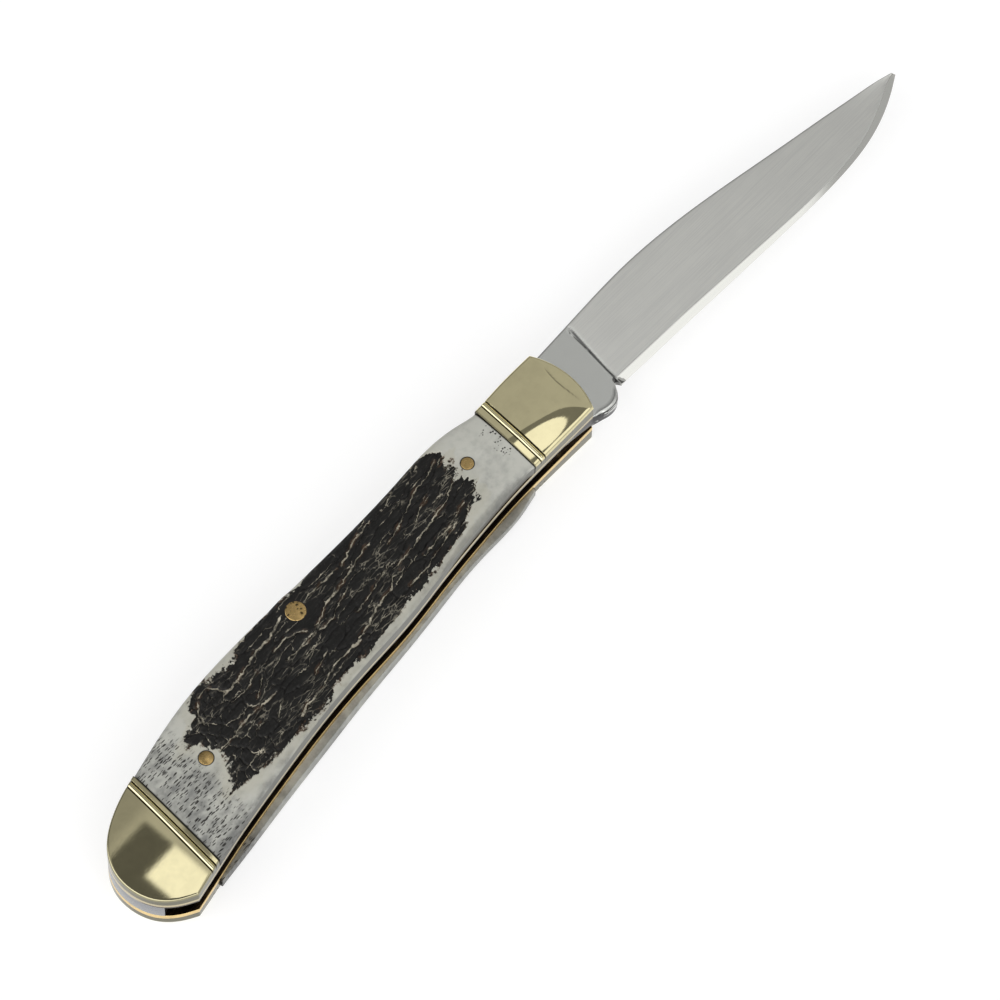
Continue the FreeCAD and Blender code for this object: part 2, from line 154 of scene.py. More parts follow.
# Ground blade from plunge to tip: spine and edge as shares of reach, spine height and edge drop,
# then shares of the tang's thickness at the spine and of the bevel's width
BLADE_SHARES = (
    (0.175, 0.937, 0.168, 0.792, 1.00, 1.00),
    (0.262, 0.981, 0.256, 0.835, 0.97, 1.02),
    (0.349, 1.000, 0.349, 0.865, 0.94, 1.00),
    (0.440, 0.960, 0.440, 0.910, 0.90, 0.93),
    (0.544, 0.854, 0.544, 0.953, 0.83, 0.80),
    (0.660, 0.690, 0.660, 0.996, 0.73, 0.62),
    (0.758, 0.546, 0.764, 0.969, 0.63, 0.56),
    (0.844, 0.423, 0.856, 0.800, 0.54, 0.66),
    (0.917, 0.312, 0.929, 0.438, 0.46, 0.82),
    (0.968, 0.228, 0.976, 0.063, 0.41, 0.85),
    (0.998, 0.159, 1.002, -0.190, 0.37, 0.40),
)
# Where bark ends on the scale, in millimetres: Y towards the slot by X, X by the two bolsters by Y,
# and its margin at the back by X
BARK_SLOT_BORDER = (
    (-80, -8.0), (-76, -8.2), (-73, -8.9), (-70, -8.7), (-65, -8.7), (-60, -8.6), (-54.4, -8.1),
    (-48, -7.3), (-41.8, -7.0), (-35.5, -6.0), (-30.5, -5.6), (-26, -4.9), (-21.4, -4.0), (-18, -3.1),
    (-16, -2.0), (-8, 1.0),
)
BARK_REAR_BORDER = (
    (-9.5, -73.0), (-8.1, -75.9), (-6.9, -75.0), (-6.0, -73.8), (-4.0, -72.4), (-2.5, -71.8),
    (-0.9, -72.9), (0.6, -73.8), (1.6, -75.9), (2.2, -75.0), (3.1, -72.5), (4.4, -70.4), (5.9, -70.3),
    (7.5, -67.5), (9, -66.0),
)
BARK_FRONT_BORDER = (
    (-6, -20.0), (-3, -18.3), (-2.4, -17.2), (-1, -16.8), (0, -15.7), (1.2, -15.4), (2.4, -16.4), (4, -15.3),
    (5.2, -15.8), (7, -16.0), (9, -15.2),
)
BARK_BACK_BORDER = (
    (-80, 0.0), (-71, 0.3), (-66, 0.4), (-64, 1.2), (-62, 1.9), (-59, 1.6), (-57.5, 0.4), (-54, 0.2),
    (-48, 0.3), (-45, 0.7), (-41, 0.6), (-38, 0.1), (-20, 0.0), (-10, 0.2),
)
# Length of the bark's plates by X, along the scale
PLATE_LENGTHS = (
    (-80, 1.6), (-71, 1.8), (-66, 2.6), (-60, 4.5), (-52, 7.5), (-34, 8.5), (-20, 7.0), (-10, 4.0),
)
# Noises of the stag: length and width of the waves in millimetres, step of the seed, layers, strength
STAG_NOISE = {
    "border": (1.0, 0.6, 2, 4, 0.42),
    "sway": (8, 3, 3, 4, 0.40),
    "ripple": (1.2, 0.6, 4, 3, 0.20),
    "slip": (5, 2, 5, 3, 1.0),
    "seams": (6, 1.6, 12, 3, 1.0),
    "lumps": (1.5, 0.8, 14, 3, 0.45),
    "strands": (2.4, 0.26, 15, 2, 0.22),
    "stain": (3.0, 1.2, 16, 4, 1.0),
    "wave_x": (1.8, 1.4, 20, 2, 0.30),
    "wave_y": (1.2, 0.9, 21, 2, 0.20),
    "opening": (2.4, 1.6, 22, 3, 0.6),
    "mottle": (2.6, 1.2, 30, 4, 0.25),
}
# Stretches of X on a scale, in millimetres, over which something grows from nothing to its full share
SET_BACK_IN, SET_BACK_OUT = (-31.0, -22.0), (-6.4, -8.4)
BEVEL_IN, BEVEL_OUT = (-33.0, -20.0), (-6.6, -14.0)
FRONT_FALL_IN = (-22.0, -8.0)
REAR_ARCH_IN = (-66.0, -82.0)
REAR_BARK_IN = (-60.0, -69.0)
REAR_BONE_IN, FRONT_BONE_IN = (-73.0, -79.0), (-10.2, -7.2)
PORES_IN = (-72.0, -80.0)
MOTTLE_IN = (-30.0, -60.0)
FRONT_STAIN_IN = (-18.0, -13.0)
# Long open fissures of the bark: half their width, then points along each
FISSURES = (
    (
        0.30,
        (-48, -5.2), (-46.1, -5.1), (-42.4, -4.3), (-39.9, -3.4), (-36.1, -2.9), (-34.9, -1.8), (-32.7, -2.0),
    ),
    (
        0.24,
        (-32.4, -1.0), (-29.3, -0.6), (-26.1, -0.1), (-23.6, 0.2), (-21.8, 0.5), (-19.9, 1.0), (-16.4, 2.6),
    ),
    (0.14, (-42.4, -1.8), (-39.3, -1.3), (-36.8, -0.7), (-33.3, 0.2)),
    (0.24, (-48, 1.3), (-46.1, 1.6), (-44.6, 2.6), (-41.8, 2.7), (-38.3, 3.5), (-34.9, 4.3), (-33, 4.6)),
    (0.18, (-48, 0.2), (-45.5, 0.1), (-44.3, 0.7), (-40.8, 1.8)),
    (0.22, (-38.6, 5.1), (-37.1, 5.5), (-34.9, 6.3), (-30.5, 7.1)),
    (0.22, (-47.1, 5.1), (-43.9, 5.4), (-41.8, 5.2), (-39.6, 5.4)),
    (0.18, (-25.5, 4.0), (-23.6, 4.9), (-21.8, 5.5), (-19.3, 5.7), (-16.5, 6.6)),
    (0.13, (-31.1, 2.4), (-28.6, 3.0), (-26.4, 3.8)),
    (0.13, (-26.1, 1.6), (-24.3, 2.7), (-21.4, 3.3)),
    (0.14, (-28.9, -2.8), (-25.5, -2.4), (-23, -2.4), (-18.5, -1.2)),
    (0.16, (-34, -4.6), (-30, -4.4), (-26.2, -3.6), (-21.5, -2.6)),
    (0.42, (-65, 3.3), (-62.5, 3.6), (-59.4, 4.1), (-56.9, 4.8), (-54.1, 4.8), (-50.6, 5.9)),
    (0.26, (-72.5, -2.2), (-69.4, -2.2), (-66.9, -1.7), (-64.1, -1.7), (-60, -1.9)),
    (0.30, (-60, -7.2), (-58.1, -6.6), (-54.7, -6.4), (-52.8, -5.6), (-49.4, -5.0), (-45.6, -5.3)),
    (0.20, (-55, 0.5), (-52.2, 0.3), (-49.4, 0.3), (-46.9, 1.6)),
    (0.24, (-55.3, 2.8), (-52.5, 3.0), (-50.6, 2.3), (-49.7, 1.6)),
    (0.14, (-62.2, -0.4), (-61, 0.3), (-59.4, 1.3)),
    (0.12, (-65, 1.6), (-61.9, 1.7), (-59.4, 2.5)),
    (0.13, (-53.8, -4.1), (-51.9, -3.4), (-50, -2.8)),
    (0.12, (-65.9, -3.8), (-63.8, -3.7)),
    (0.26, (-68.1, 5.9), (-66.3, 6.2), (-65, 4.1), (-64.1, 3.3)),
    (0.24, (-70.6, 2.2), (-69.8, 4.4), (-68.8, 5.4)),
)


def length(name, text, default):
    """A length property in metres from a default in millimetres."""
    return FloatProperty(name=name, description=text, default=default * MM, unit="LENGTH", precision=5)


def share(name, text, default):
    """A plain share or strength property."""
    return FloatProperty(name=name, description=text, default=default)


def turn(name, text, default):
    """An angle property from a default in degrees."""
    return FloatProperty(name=name, description=text, default=math.radians(default), unit="ROTATION")


def colour(name, text, default):
    """A linear colour property."""
    return FloatVectorProperty(
        name=name, description=text, default=default, size=3, subtype="COLOR", min=0, max=1
    )


class HandleSizes(PropertyGroup):
    """Outline of the handle and its stack of plates."""

    nose_reach: length("Nose reach", "From the pivot to the front of the bolsters", LINER_HIGH[0])
    butt_reach: length("Butt reach", "From the pivot back to the butt", -LINER_LOW[0])
    nose_bulge: length("Nose bulge", "How far the front of the bolsters is rounded out", 1.75)
    back_height: length("Back height", "Back of the handle over the pivot", 8.0)
    slot_depth: length("Slot depth", "Front of the slot side below the pivot", 4.9)
    butt_drop: length("Butt drop", "Corner of the butt below the pivot", -LINER_LOW[1])
    edge_ease: length("Edge ease", "Rounding of the liners' and spring's edges", 0.07)
    spring_front: length("Spring front", "Front end of the spring before the pivot", 6.44)
    spring_seat: length("Spring seat", "Height of the spring's working face over the pivot", 4.46)
    spring_head: length("Spring head", "Where the working face ends behind the pivot", 1.8)
    boss_wall: length("Boss wall", "Metal round the spring's middle pin", 1.1)


class CoverSizes(PropertyGroup):
    """Shape of the bolsters and scales."""

    belly: length("Lower belly", "How far the lower scale stands out past its liner on the slot side", 1.3)
    set_back: length("Set-back", "From the front of the upper scale to its liner's edge at the slot", 0.24)
    swell: length("Scale swell", "How far the scales stand out past the liners at the back", 0.35)
    edge_round: length("Edge round", "Width of the rounded edge of a bolster", 0.30)
    edge_rise: length("Edge rise", "Height of the rounded edge of a bolster", 0.34)
    slot_round: length("Slot edge round", "Width of the front bolster's rounder edge at the slot", 0.55)
    slot_rise: length("Slot edge rise", "Height of that edge", 0.45)
    front_dome: length("Front dome", "How far the front bolster falls towards the slot by its joint", 0.44)
    nose_facet: length("Nose facet", "Where the front bolster begins to fall to its nose", 5.65)
    nose_slope: share("Nose slope", "Fall of that facet", 0.14)
    rear_arch: share("Rear arch", "Bend of the rear bolster across the handle, per millimetre", 0.006)
    rear_crest: length("Rear crest", "Crest of that arch below the pivot", 1.7)
    rear_ridge: length("Rear ridge", "Where the rear bolster begins to fall to the butt", 86.65)
    rear_slope: share("Rear slope", "Fall of the rear bolster to the butt", 0.074)
    rear_lead: share("Rear lead", "Fall of the rear bolster before that", 0.040)
    scale_round: length("Scale edge round", "Width of the rounded edge of a scale at the back", 1.15)
    scale_rise: length("Scale edge rise", "Height of that edge", 0.85)
    scale_crease: length("Scale crease", "Rounding of a scale's edge at the slot", 0.30)
    scale_dome: length("Scale dome", "How far a scale falls towards the back", 0.50)
    scale_reach: length("Scale dome reach", "Width over which a scale falls", 6.5)
    bevel_width: length("Scale bevel width", "Widest part of the bevel on the slot side", 0.85)
    bevel_rise: length("Scale bevel rise", "Height of that bevel", 0.95)
    pin_seat: length("Pin seat", "How far a scale lies below its crown round its pins", 0.22)
    front_joint: length("Front joint", "Joint between front bolster and scale, behind the pivot", 6.7)
    rear_joint: length("Rear joint", "Joint between scale and rear bolster, behind the pivot", 83.85)
    front_tilt: turn("Front joint tilt", "Lean of the front joint", 2.3)
    rear_tilt: turn("Rear joint tilt", "Lean of the rear joint", 3.75)
    joint_ease: length("Joint ease", "Rounding of the covers where they meet", 0.14)
    joint_gap: length("Joint gap", "Hairline between a scale and its bolsters", 0.08)
    front_groove: length("Front groove", "From the front joint to its first groove", 1.14)
    rear_groove: length("Rear groove", "From the rear joint to its first groove", 0.70)
    groove_width: length("Groove width", "Width of each groove", 0.28)
    groove_depth: length("Groove depth", "Depth of each groove", 0.30)
    bead_width: length("Bead width", "Width of the bead between the grooves", 0.71)


class BladeSizes(PropertyGroup):
    """Shape of the blade."""

    reach: length("Reach", "From the pivot to the tip", BLADE_HIGH[0])
    thickness: length("Thickness", "Thickness of the tang", BLADE_HIGH[2] - BLADE_LOW[2])
    spine_height: length("Spine height", "Highest point of the spine over the pivot", 8.98)
    edge_drop: length("Edge drop", "Reference depth of the edge below the pivot", 4.8)
    plunge_reach: length("Plunge reach", "Where the grind begins, level with the pivot", 13.6)
    plunge_tilt: turn("Plunge tilt", "Lean of the plunge line", 7.0)
    plunge_radius: length("Plunge radius", "Radius of the round that ends the grind", 1.3)
    edge_thickness: length("Edge thickness", "Thickness left at the cutting edge", 0.06)
    shoulder_thickness: length("Shoulder thickness", "Thickness where the bevel begins", 0.56)
    bevel_width: length("Bevel width", "Width of the edge bevel at the heel", 1.35)
    ease: length("Edge ease", "Rounding of the tang's and spine's edges", 0.1)
    kick_round: length("Kick round", "Rounding of the kick's polished lower edges", 0.65)
    cam_radius: length("Cam radius", "Round end of the tang", 4.9)
    cam_flat: length("Cam flat", "Distance of the tang's flats from the pivot", 4.4)
    travel: turn("Travel", "Angle between the open and the closed blade", 177.0)
    stop_reach: length("Stop reach", "Shoulder that meets the spring's front", 6.5)
    stop_height: length("Stop height", "Top of that shoulder", 8.0)
    kick_reach: length("Kick reach", "Lowest point of the kick before the pivot", 9.7)
    kick_drop: length("Kick drop", "Lowest point of the kick below the pivot", 5.75)
    choil_width: length("Choil width", "Notch between the kick and the edge", 0.65)
    choil_height: length("Choil height", "Top of that notch below the pivot", 2.45)
    nick_reach: length("Nick reach", "Middle of the nail nick before the pivot", 33.0)
    nick_length: length("Nick length", "Length of the nail nick", 12.0)
    nick_width: length("Nick width", "Width of the nail nick", 1.3)
    nick_depth: length("Nick depth", "Depth of the nail nick", 0.5)
    nick_lean: turn("Nick lean", "Lean of the nail nick's floor", 18.0)
    nick_below_spine: length("Nick below spine", "Upper wall of the nick below the spine", 1.9)


class StagLook(PropertyGroup):
    """Relief and colours of the stag scales."""

    fissure_depth: length("Fissure depth", "Depth of the fissures between the plates of bark", 0.36)
    fissure_share: share("Fissure share", "Share of the long fissures' width that lies open", 0.50)
    plate_relief: length("Plate relief", "Unevenness of the plates of bark", 0.16)
    plate_width: length("Plate width", "Width of the plates across the scale", 1.5)
    grain_slope: share("Grain slope", "Rise of the bark's grain along the handle", 0.135)
    seed: IntProperty(name="Seed", description="Which bark is drawn", default=11)
    bone: colour("Bone", "Polished bone by the bolsters", (0.47, 0.47, 0.425))
    # Greyer bone, and painted shade along the scales' slot edge
    bone_grey_and_shade: colour("Bone shade", "Greyer bone", (0.185, 0.187, 0.178))
    bone_warm: colour("Bone, warm", "Yellower bone beside the bark", (0.43, 0.415, 0.34))
    # Painted shade: the darker colour of the scales' walls and of the upper scale's bevel
    bone_wall_shade: colour("Bone wall", "Sides of the scales along the slot", (0.14, 0.137, 0.124))
    bark: colour("Bark", "Dark crust", (0.010, 0.0097, 0.009))
    bark_light: colour("Bark light", "Rubbed tops of the crust", (0.026, 0.025, 0.023))
    rust: colour("Rust", "Brown borders of the fissures", (0.080, 0.045, 0.025))
    vein: colour("Vein", "Pale floor of the fissures", (0.50, 0.46, 0.36))
    pore: colour("Pore", "Dark pores in the bone", (0.017, 0.015, 0.013))


class MetalLook(PropertyGroup):
    """Colours of the metals."""

    nickel: colour("Nickel silver", "Polished bolsters", (0.77, 0.70, 0.43))
    # Painted shade: the darker colour of the bolsters' side walls and of the rear bolster's rim
    nickel_wall_shade: colour("Nickel silver, sides", "Duller side walls of the bolsters", (0.155, 0.147, 0.102))
    nickel_dull: colour("Nickel silver, dull", "Tarnish in the bolsters' grooves", (0.05, 0.042, 0.028))
    brass: colour("Liner brass", "Edges of the liners", (0.84, 0.62, 0.28))
    # Painted reflection: the upper liner's edge drawn paler than the lower one's
    brass_pale_reflection: colour("Liner brass, pale", "Edge of the upper liner", (0.56, 0.49, 0.33))
    # Tarnish on the liners' faces, dark enough to be painted shade inside the slot and on the ledge beside
    # the upper scale
    brass_tarnish_and_shade: colour("Liner brass, dull", "Tarnished inner faces of the liners", (0.045, 0.030, 0.018))
    pin_brass: colour("Pin brass", "Heads of the scale pins", (0.66, 0.46, 0.19))
    pin_spot: colour("Pin spot", "Dark spots on the pins", (0.06, 0.045, 0.025))
    steel: colour("Blade steel", "Satin flanks of the blade", (0.72, 0.72, 0.68))
    steel_streak: colour("Blade streak", "Darker streaks of the satin finish", (0.66, 0.66, 0.63))
    steel_bright: colour("Blade, polished", "Ricasso and edge bevel", (0.84, 0.85, 0.81))
    # Painted shade and dark reflections on the blade: the plunge line, lines along the spine, bevel and kick,
    # streaks under the kick
    steel_shade: colour("Blade, dark", "Plunge line and the underside of the kick", (0.04, 0.04, 0.042))
    spring: colour("Spring steel", "Edges of the backspring", (0.30, 0.305, 0.32))
    spring_dull: colour("Spring steel, dull", "Hidden faces of the backspring", (0.10, 0.09, 0.08))


class StageLook(PropertyGroup):
    """Camera, floor and light."""

    lens: share("Lens", "Focal length on the sensor, in millimetres", 252.0)
    camera_tilt: turn("Camera tilt", "Angle between the view and the knife's face", 26.0)
    camera_heading: turn("Camera heading", "Angle of the knife in the picture before the tilt", 50.0)
    camera_roll: turn("Camera roll", "Turn of the picture", 2.5)
    camera_distance: length("Camera distance", "From the camera to the top of the pivot", 1039.9)
    pivot_pixel: FloatVectorProperty(
        name="Pivot pixel", description="Top of the pivot in the picture", default=(542.0, 414.0), size=2
    )
    floor_side: length("Floor side", "Side of the square floor", 6000.0)
    floor: colour("Floor", "Pale floor", (0.40, 0.40, 0.40))
    floor_lift: share("Floor lift", "Light added to the floor where it is seen", 0.64)
    tent_low: share("Tent walls", "Light from low directions", 0.95)
    tent_high: share("Tent roof", "Light from overhead", 0.50)
    key: share("Key", "Light from the wide softbox behind the camera", 2.4)
    flag: share("Dark flag", "Light from the dark flags beside the camera", 0.12)
    panel: share("Panel", "Light from the bright panel", 1.2)


GROUPS = {
    "knife_handle": HandleSizes,
    "knife_covers": CoverSizes,
    "knife_blade": BladeSizes,
    "knife_stag": StagLook,
    "knife_metal": MetalLook,
    "knife_stage": StageLook,
}


def own_properties(settings):
    """A group's own properties by name, without those that every group has."""
    return {k: p for k, p in settings.bl_rna.properties.items() if k not in ("rna_type", "name")}


def values(group):
    """A property group's values by name, with lengths in millimetres."""
    found = {}
    settings = getattr(bpy.context.scene, group)
    for key, prop in own_properties(settings).items():
        value = getattr(settings, key)
        found[key] = value / MM if prop.unit == "LENGTH" else value
    return types.SimpleNamespace(**found)


# Curves and noise

# Points of the splines along the handle's back with its butt, and along its slot side
BACK_SAMPLES, SLOT_SAMPLES = 700, 420
# Steps over a rim's round and beyond it, and over the ease of a flat plate's edge
ROUND_STEPS, WIDE_STEPS, EASE_STEPS = 11, 6, 5
# Rounds in which a leaning line's crossing settles, and points whose distances are worked out at once
CROSSING_ROUNDS = 8
BLOCK_POINTS = 2000
# How far close rows reach from the rim of a scale or rear bolster
RIM_REACH = 1.3
# Points closer than this are merged
MERGE_DISTANCE = 1e-4
# Y of the inward normal from which, and up to which, a plate's edge counts as facing the slot
SLOT_FACING = (0.1, 0.4)


def smooth(low, high, x):
    """0 below low, 1 above high and an S-curve, 3t^2 - 2t^3, between them."""
    t = np.clip((x - low) / (high - low), 0, 1)
    return t * t * (3 - 2 * t)


def spline(points, count):
    """Natural cubic spline through points, with the chord length as parameter, sampled count times."""
    p = np.asarray(points, float)
    t = np.r_[0, np.cumsum(np.linalg.norm(np.diff(p, axis=0), axis=1))]
    h = np.diff(t)
    i = np.arange(1, len(p) - 1)
    system = np.eye(len(p))
    system[i, i - 1] = h[:-1]
    system[i, i] = 2 * (h[:-1] + h[1:])
    system[i, i + 1] = h[1:]
    right = np.zeros_like(p)
    right[1:-1] = 6 * np.diff(np.diff(p, axis=0) / h[:, None], axis=0)
    m = np.linalg.solve(system, right)
    s = np.linspace(0, t[-1], count)
    k = np.clip(np.searchsorted(t, s, side="right") - 1, 0, len(p) - 2)
    a, b, w = (t[k + 1] - s)[:, None], (s - t[k])[:, None], h[k][:, None]
    cubic = (m[k] * a**3 + m[k + 1] * b**3) / (6 * w)
    return cubic + (p[k] / w - m[k] * w / 6) * a + (p[k + 1] / w - m[k + 1] * w / 6) * b


def by_x(table, x):
    """Value of a short table of (place, value) rows at x, straight between rows."""
    rows = np.asarray(table, float)
    return np.interp(x, rows[:, 0], rows[:, 1])


def scatter(i, j, seed):
    """A repeatable number from 0 to 1 for each whole-numbered cell (i, j)."""
    h = i.astype(np.uint32) * np.uint32(374761393) + j.astype(np.uint32) * np.uint32(668265263)
    h = h + np.uint32((seed * 2246822519 + 3266489917) % 2**32)
    h = (h ^ (h >> np.uint32(13))) * np.uint32(1274126177)
    h = (h ^ (h >> np.uint32(16))) * np.uint32(2246822519)
    return (h ^ (h >> np.uint32(13))).astype(float) / 2**32


def noise(x, y, seed):
    """Gradient noise: each lattice point's slope times the distance to it, blended across the cell."""
    i, j = np.floor(x).astype(np.int64), np.floor(y).astype(np.int64)
    fx, fy = x - i, y - j
    wx, wy = fx**3 * (fx * (6 * fx - 15) + 10), fy**3 * (fy * (6 * fy - 15) + 10)

    def corner(di, dj):
        """One corner's slope times the distance to it."""
        angle = 2 * np.pi * scatter(i + di, j + dj, seed)
        return np.cos(angle) * (fx - di) + np.sin(angle) * (fy - dj)

    low = corner(0, 0) * (1 - wx) + corner(1, 0) * wx
    high = corner(0, 1) * (1 - wx) + corner(1, 1) * wx
    return 1.5 * (low * (1 - wy) + high * wy)


def layers(x, y, seed, count=4):
    """Noise summed over count layers, each twice as fine and half as strong as the one before."""
    return sum(noise(x * 2**k, y * 2**k, seed + 17 * k) / 2**k for k in range(count))


def cells(u, v, long, wide, seed):
    """Scattered plates over u and v, whose units are long and wide: the distance to a plate's border, the
    side of it, how far that border runs lengthwise, the plate's number and the way to its seed point.

    Nine seed points round each place are compared; the border with each is the line midway between two seeds.
    """
    step = np.stack(np.meshgrid((-1, 0, 1), (-1, 0, 1)), 0).reshape(2, 9, 1, 1)
    a = np.floor(u).astype(np.int64) + step[0]
    b = np.floor(v).astype(np.int64) + step[1]
    du = a + 0.1 + 0.8 * scatter(a, b, seed) - u
    dv = b + 0.1 + 0.8 * scatter(a, b, seed + 1) - v
    far = du**2 + dv**2
    own = far.argmin(0)[None]
    near_u, near_v = np.take_along_axis(du, own, 0), np.take_along_axis(dv, own, 0)
    across_u, across_v = (du - near_u) / long, (dv - near_v) / wide
    size = np.maximum(np.hypot(across_u, across_v), 1e-9)
    gap = (far - np.take_along_axis(far, own, 0)) / (2 * size)
    np.put_along_axis(gap, own, 99.0, 0)
    next_one = gap.argmin(0)[None]
    gap = np.take_along_axis(gap, next_one, 0)[0]
    lengthwise = np.abs(np.take_along_axis(across_v / size, next_one, 0)[0])
    numbers = scatter(a, b, seed + 2)
    plate = np.take_along_axis(numbers, own, 0)[0]
    side = np.sign(plate - np.take_along_axis(numbers, next_one, 0)[0])
    return gap, side, lengthwise, plate, near_u[0] * long, near_v[0] * wide


# Outlines


def handle_curves(swell=0.0, belly=0.0):
    """The handle's outline as two splines: back and butt from the front corner, then the slot side."""
    h = values("knife_handle")
    span = h.nose_reach + h.butt_reach
    fall = h.butt_drop - h.slot_depth
    front = h.nose_reach - h.nose_bulge
    back = [(front, h.back_height)]
    back += [(h.nose_reach - s * span, y * h.back_height + k * swell) for s, y, k in BACK_SHARES]
    back += [(h.nose_reach - s * span, -y * h.butt_drop) for s, y in BUTT_SHARES]
    slot = [back[-1]]
    slot += [(h.nose_reach - s * span, -h.slot_depth - d * fall - k * belly) for s, d, k in SLOT_SHARES]
    slot.append((front, -h.slot_depth))
    return spline(back, BACK_SAMPLES), spline(slot, SLOT_SAMPLES)


def nose_arc(y):
    """X of the arc at the front of the handle: a circle through its two corners and the nose."""
    h = values("knife_handle")
    half = (h.back_height + h.slot_depth) / 2
    radius = (half**2 + h.nose_bulge**2) / (2 * h.nose_bulge)
    return h.nose_reach - radius + np.sqrt(radius**2 - (y - (h.back_height - half)) ** 2)


def crossing(curve, x0, tilt):
    """Where lines leaning by tilt, through (x0, 0), cross a curve whose X keeps one direction."""
    curve = curve[np.argsort(curve[:, 0])]
    lean = np.tan(tilt)
    y = np.interp(x0, curve[:, 0], curve[:, 1])
    for _ in range(CROSSING_ROUNDS):
        y = np.interp(x0 + y * lean, curve[:, 0], curve[:, 1])
    return np.stack([x0 + y * lean, y], -1)


def rim_steps(width, reach):
    """Distances from a rim: close steps over its round, as on a quarter turn, then wider ones to reach."""
    turn_steps = width * (1 - np.cos(np.linspace(0, np.pi / 2, ROUND_STEPS)))
    return np.r_[turn_steps, np.geomspace(width, reach, WIDE_STEPS)[1:]]


def strip_rows(width, rim, middle):
    """Distances across strips of these widths: close by both rims, even between them."""
    even = np.linspace(0, 1, middle + 2)[1:-1]
    low = np.broadcast_to(rim, (len(width), len(rim)))
    inner = rim[-1] + (width[:, None] - 2 * rim[-1]) * even
    return np.concatenate([low, inner, width[:, None] - rim[::-1]], axis=1)


def strip(low, high, span, rim, middle):
    """A grid of straight rows between two lines of stations, span apart, and the distances to both."""
    rows = strip_rows(span, rim, middle) / span[:, None]
    xy = low[:, None] + rows[..., None] * (high - low)[:, None]
    return xy, rows * span[:, None], (1 - rows) * span[:, None]


def outline_distance(points, outline):
    """Shortest distance from each point to a polyline, by its foot on every stretch."""
    a, b = outline[:-1], outline[1:]
    way = b - a
    size = np.maximum((way**2).sum(1), 1e-12)
    flat = points.reshape(-1, 2)
    found = []
    for block in np.array_split(flat, max(1, len(flat) // BLOCK_POINTS)):
        t = np.clip(((block[:, None] - a) * way).sum(2) / size, 0, 1)
        foot = a + t[..., None] * way
        found.append(np.sqrt(((block[:, None] - foot) ** 2).sum(2)).min(1))
    return np.concatenate(found).reshape(points.shape[:-1])


def edge_fall(d, width, rise):
    """Fall of a rounded edge at distance d from the outline: a quarter ellipse."""
    q = np.clip(1 - d / width, 0, 1)
    return rise * (1 - np.sqrt(1 - q**2))


def beyond(v, softness):
    """0 below zero and v above it, with a soft bend between."""
    return (v + np.sqrt(v**2 + softness**2)) / 2


def dome_fall(d, dome, reach):
    """Fall of a domed face at distance d from the outline: a parabola that levels out at reach."""
    return dome * np.clip(1 - d / reach, 0, 1) ** 2


def eased(g, radius):
    """Drop of a rounded corner at distance g from it: a quarter circle."""
    return edge_fall(g, radius, radius)


# Meshes


class Shell:
    """Points and faces of one piece, gathered from grids and rings."""

    def __init__(self):
        self.points = []
        self.marks = []
        self.quads = []
        self.rings = []
        self.total = 0

    def add(self, points, marks):
        """Keeps an array of points with their attributes, and gives back their numbers in the same layout."""
        count = int(np.prod(points.shape[:-1]))
        numbers = np.arange(self.total, self.total + count).reshape(points.shape[:-1])
        self.points.append(points.reshape(-1, 3))
        self.marks.append({k: np.broadcast_to(v, points.shape[:-1]).ravel() for k, v in marks.items()})
        self.total += count
        return numbers

    def grid(self, n):
        """Four-sided faces over a grid of point numbers."""
        corners = [n[:-1, :-1], n[1:, :-1], n[1:, 1:], n[:-1, 1:]]
        self.quads.append(np.stack(corners, -1).reshape(-1, 4))

    def tube(self, n):
        """Four-sided faces over a grid of point numbers whose last column meets its first."""
        self.grid(np.concatenate([n, n[:, :1]], axis=1))

    def cap(self, ring):
        """One flat face over a ring of point numbers."""
        self.rings.append(ring)

    def mesh(self, name, mirrored):
        """The finished mesh: mirrored to the lower side if asked, doubles merged, faces turned outwards."""
        xyz = np.concatenate(self.points)
        if mirrored:
            xyz = xyz * (1, 1, -1) + (0, 0, 2 * MID_Z)
        quads = np.concatenate(self.quads)
        loops = np.concatenate([quads.ravel(), *self.rings]).astype(np.int32)
        sizes = np.r_[np.full(len(quads), 4), [len(r) for r in self.rings]].astype(np.int32)
        mesh = bpy.data.meshes.new(name)
        mesh.vertices.add(len(xyz))
        mesh.vertices.foreach_set("co", (xyz * MM).astype(np.float32).ravel())
        mesh.loops.add(len(loops))
        mesh.loops.foreach_set("vertex_index", loops)
        mesh.polygons.add(len(sizes))
        mesh.polygons.foreach_set("loop_start", np.r_[0, np.cumsum(sizes)[:-1]].astype(np.int32))
        for key in sorted({k for m in self.marks for k in m}):
            parts = [m.get(key, np.zeros(len(p))) for m, p in zip(self.marks, self.points)]
            layer = mesh.attributes.new(key, "FLOAT", "POINT")
            layer.data.foreach_set("value", np.concatenate(parts).astype(np.float32))
        mesh.update(calc_edges=True)
        merged = bmesh.new()
        merged.from_mesh(mesh)
        bmesh.ops.remove_doubles(merged, verts=merged.verts, dist=MERGE_DISTANCE * MM)
        bmesh.ops.recalc_face_normals(merged, faces=merged.faces)
        merged.to_mesh(mesh)
        merged.free()
        return mesh


def border(n):
    """Numbers round the border of a grid, once round."""
    return np.concatenate([n[0, :-1], n[:-1, -1], n[-1, :0:-1], n[:0:-1, 0]])


# Angles from which edges are shaded sharp, in degrees: on most pieces, on the blade and on the stag
PLAIN_SHARP, BLADE_SHARP, STAG_SHARP = 35.0, 24.0, 60.0


def add_piece(name, shell, material, body, nodes, sharp=PLAIN_SHARP, mirrored=False):
    """Makes the object for a piece, shades it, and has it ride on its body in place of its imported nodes."""
    mesh = shell.mesh(name, mirrored)
    mesh.shade_smooth()
    mesh.set_sharp_from_angle(angle=math.radians(sharp))
    mesh.materials.append(material)
    piece = bpy.data.objects.new(name, mesh)
    bpy.context.scene.collection.objects.link(piece)
    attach(piece, body)
    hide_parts(*nodes)


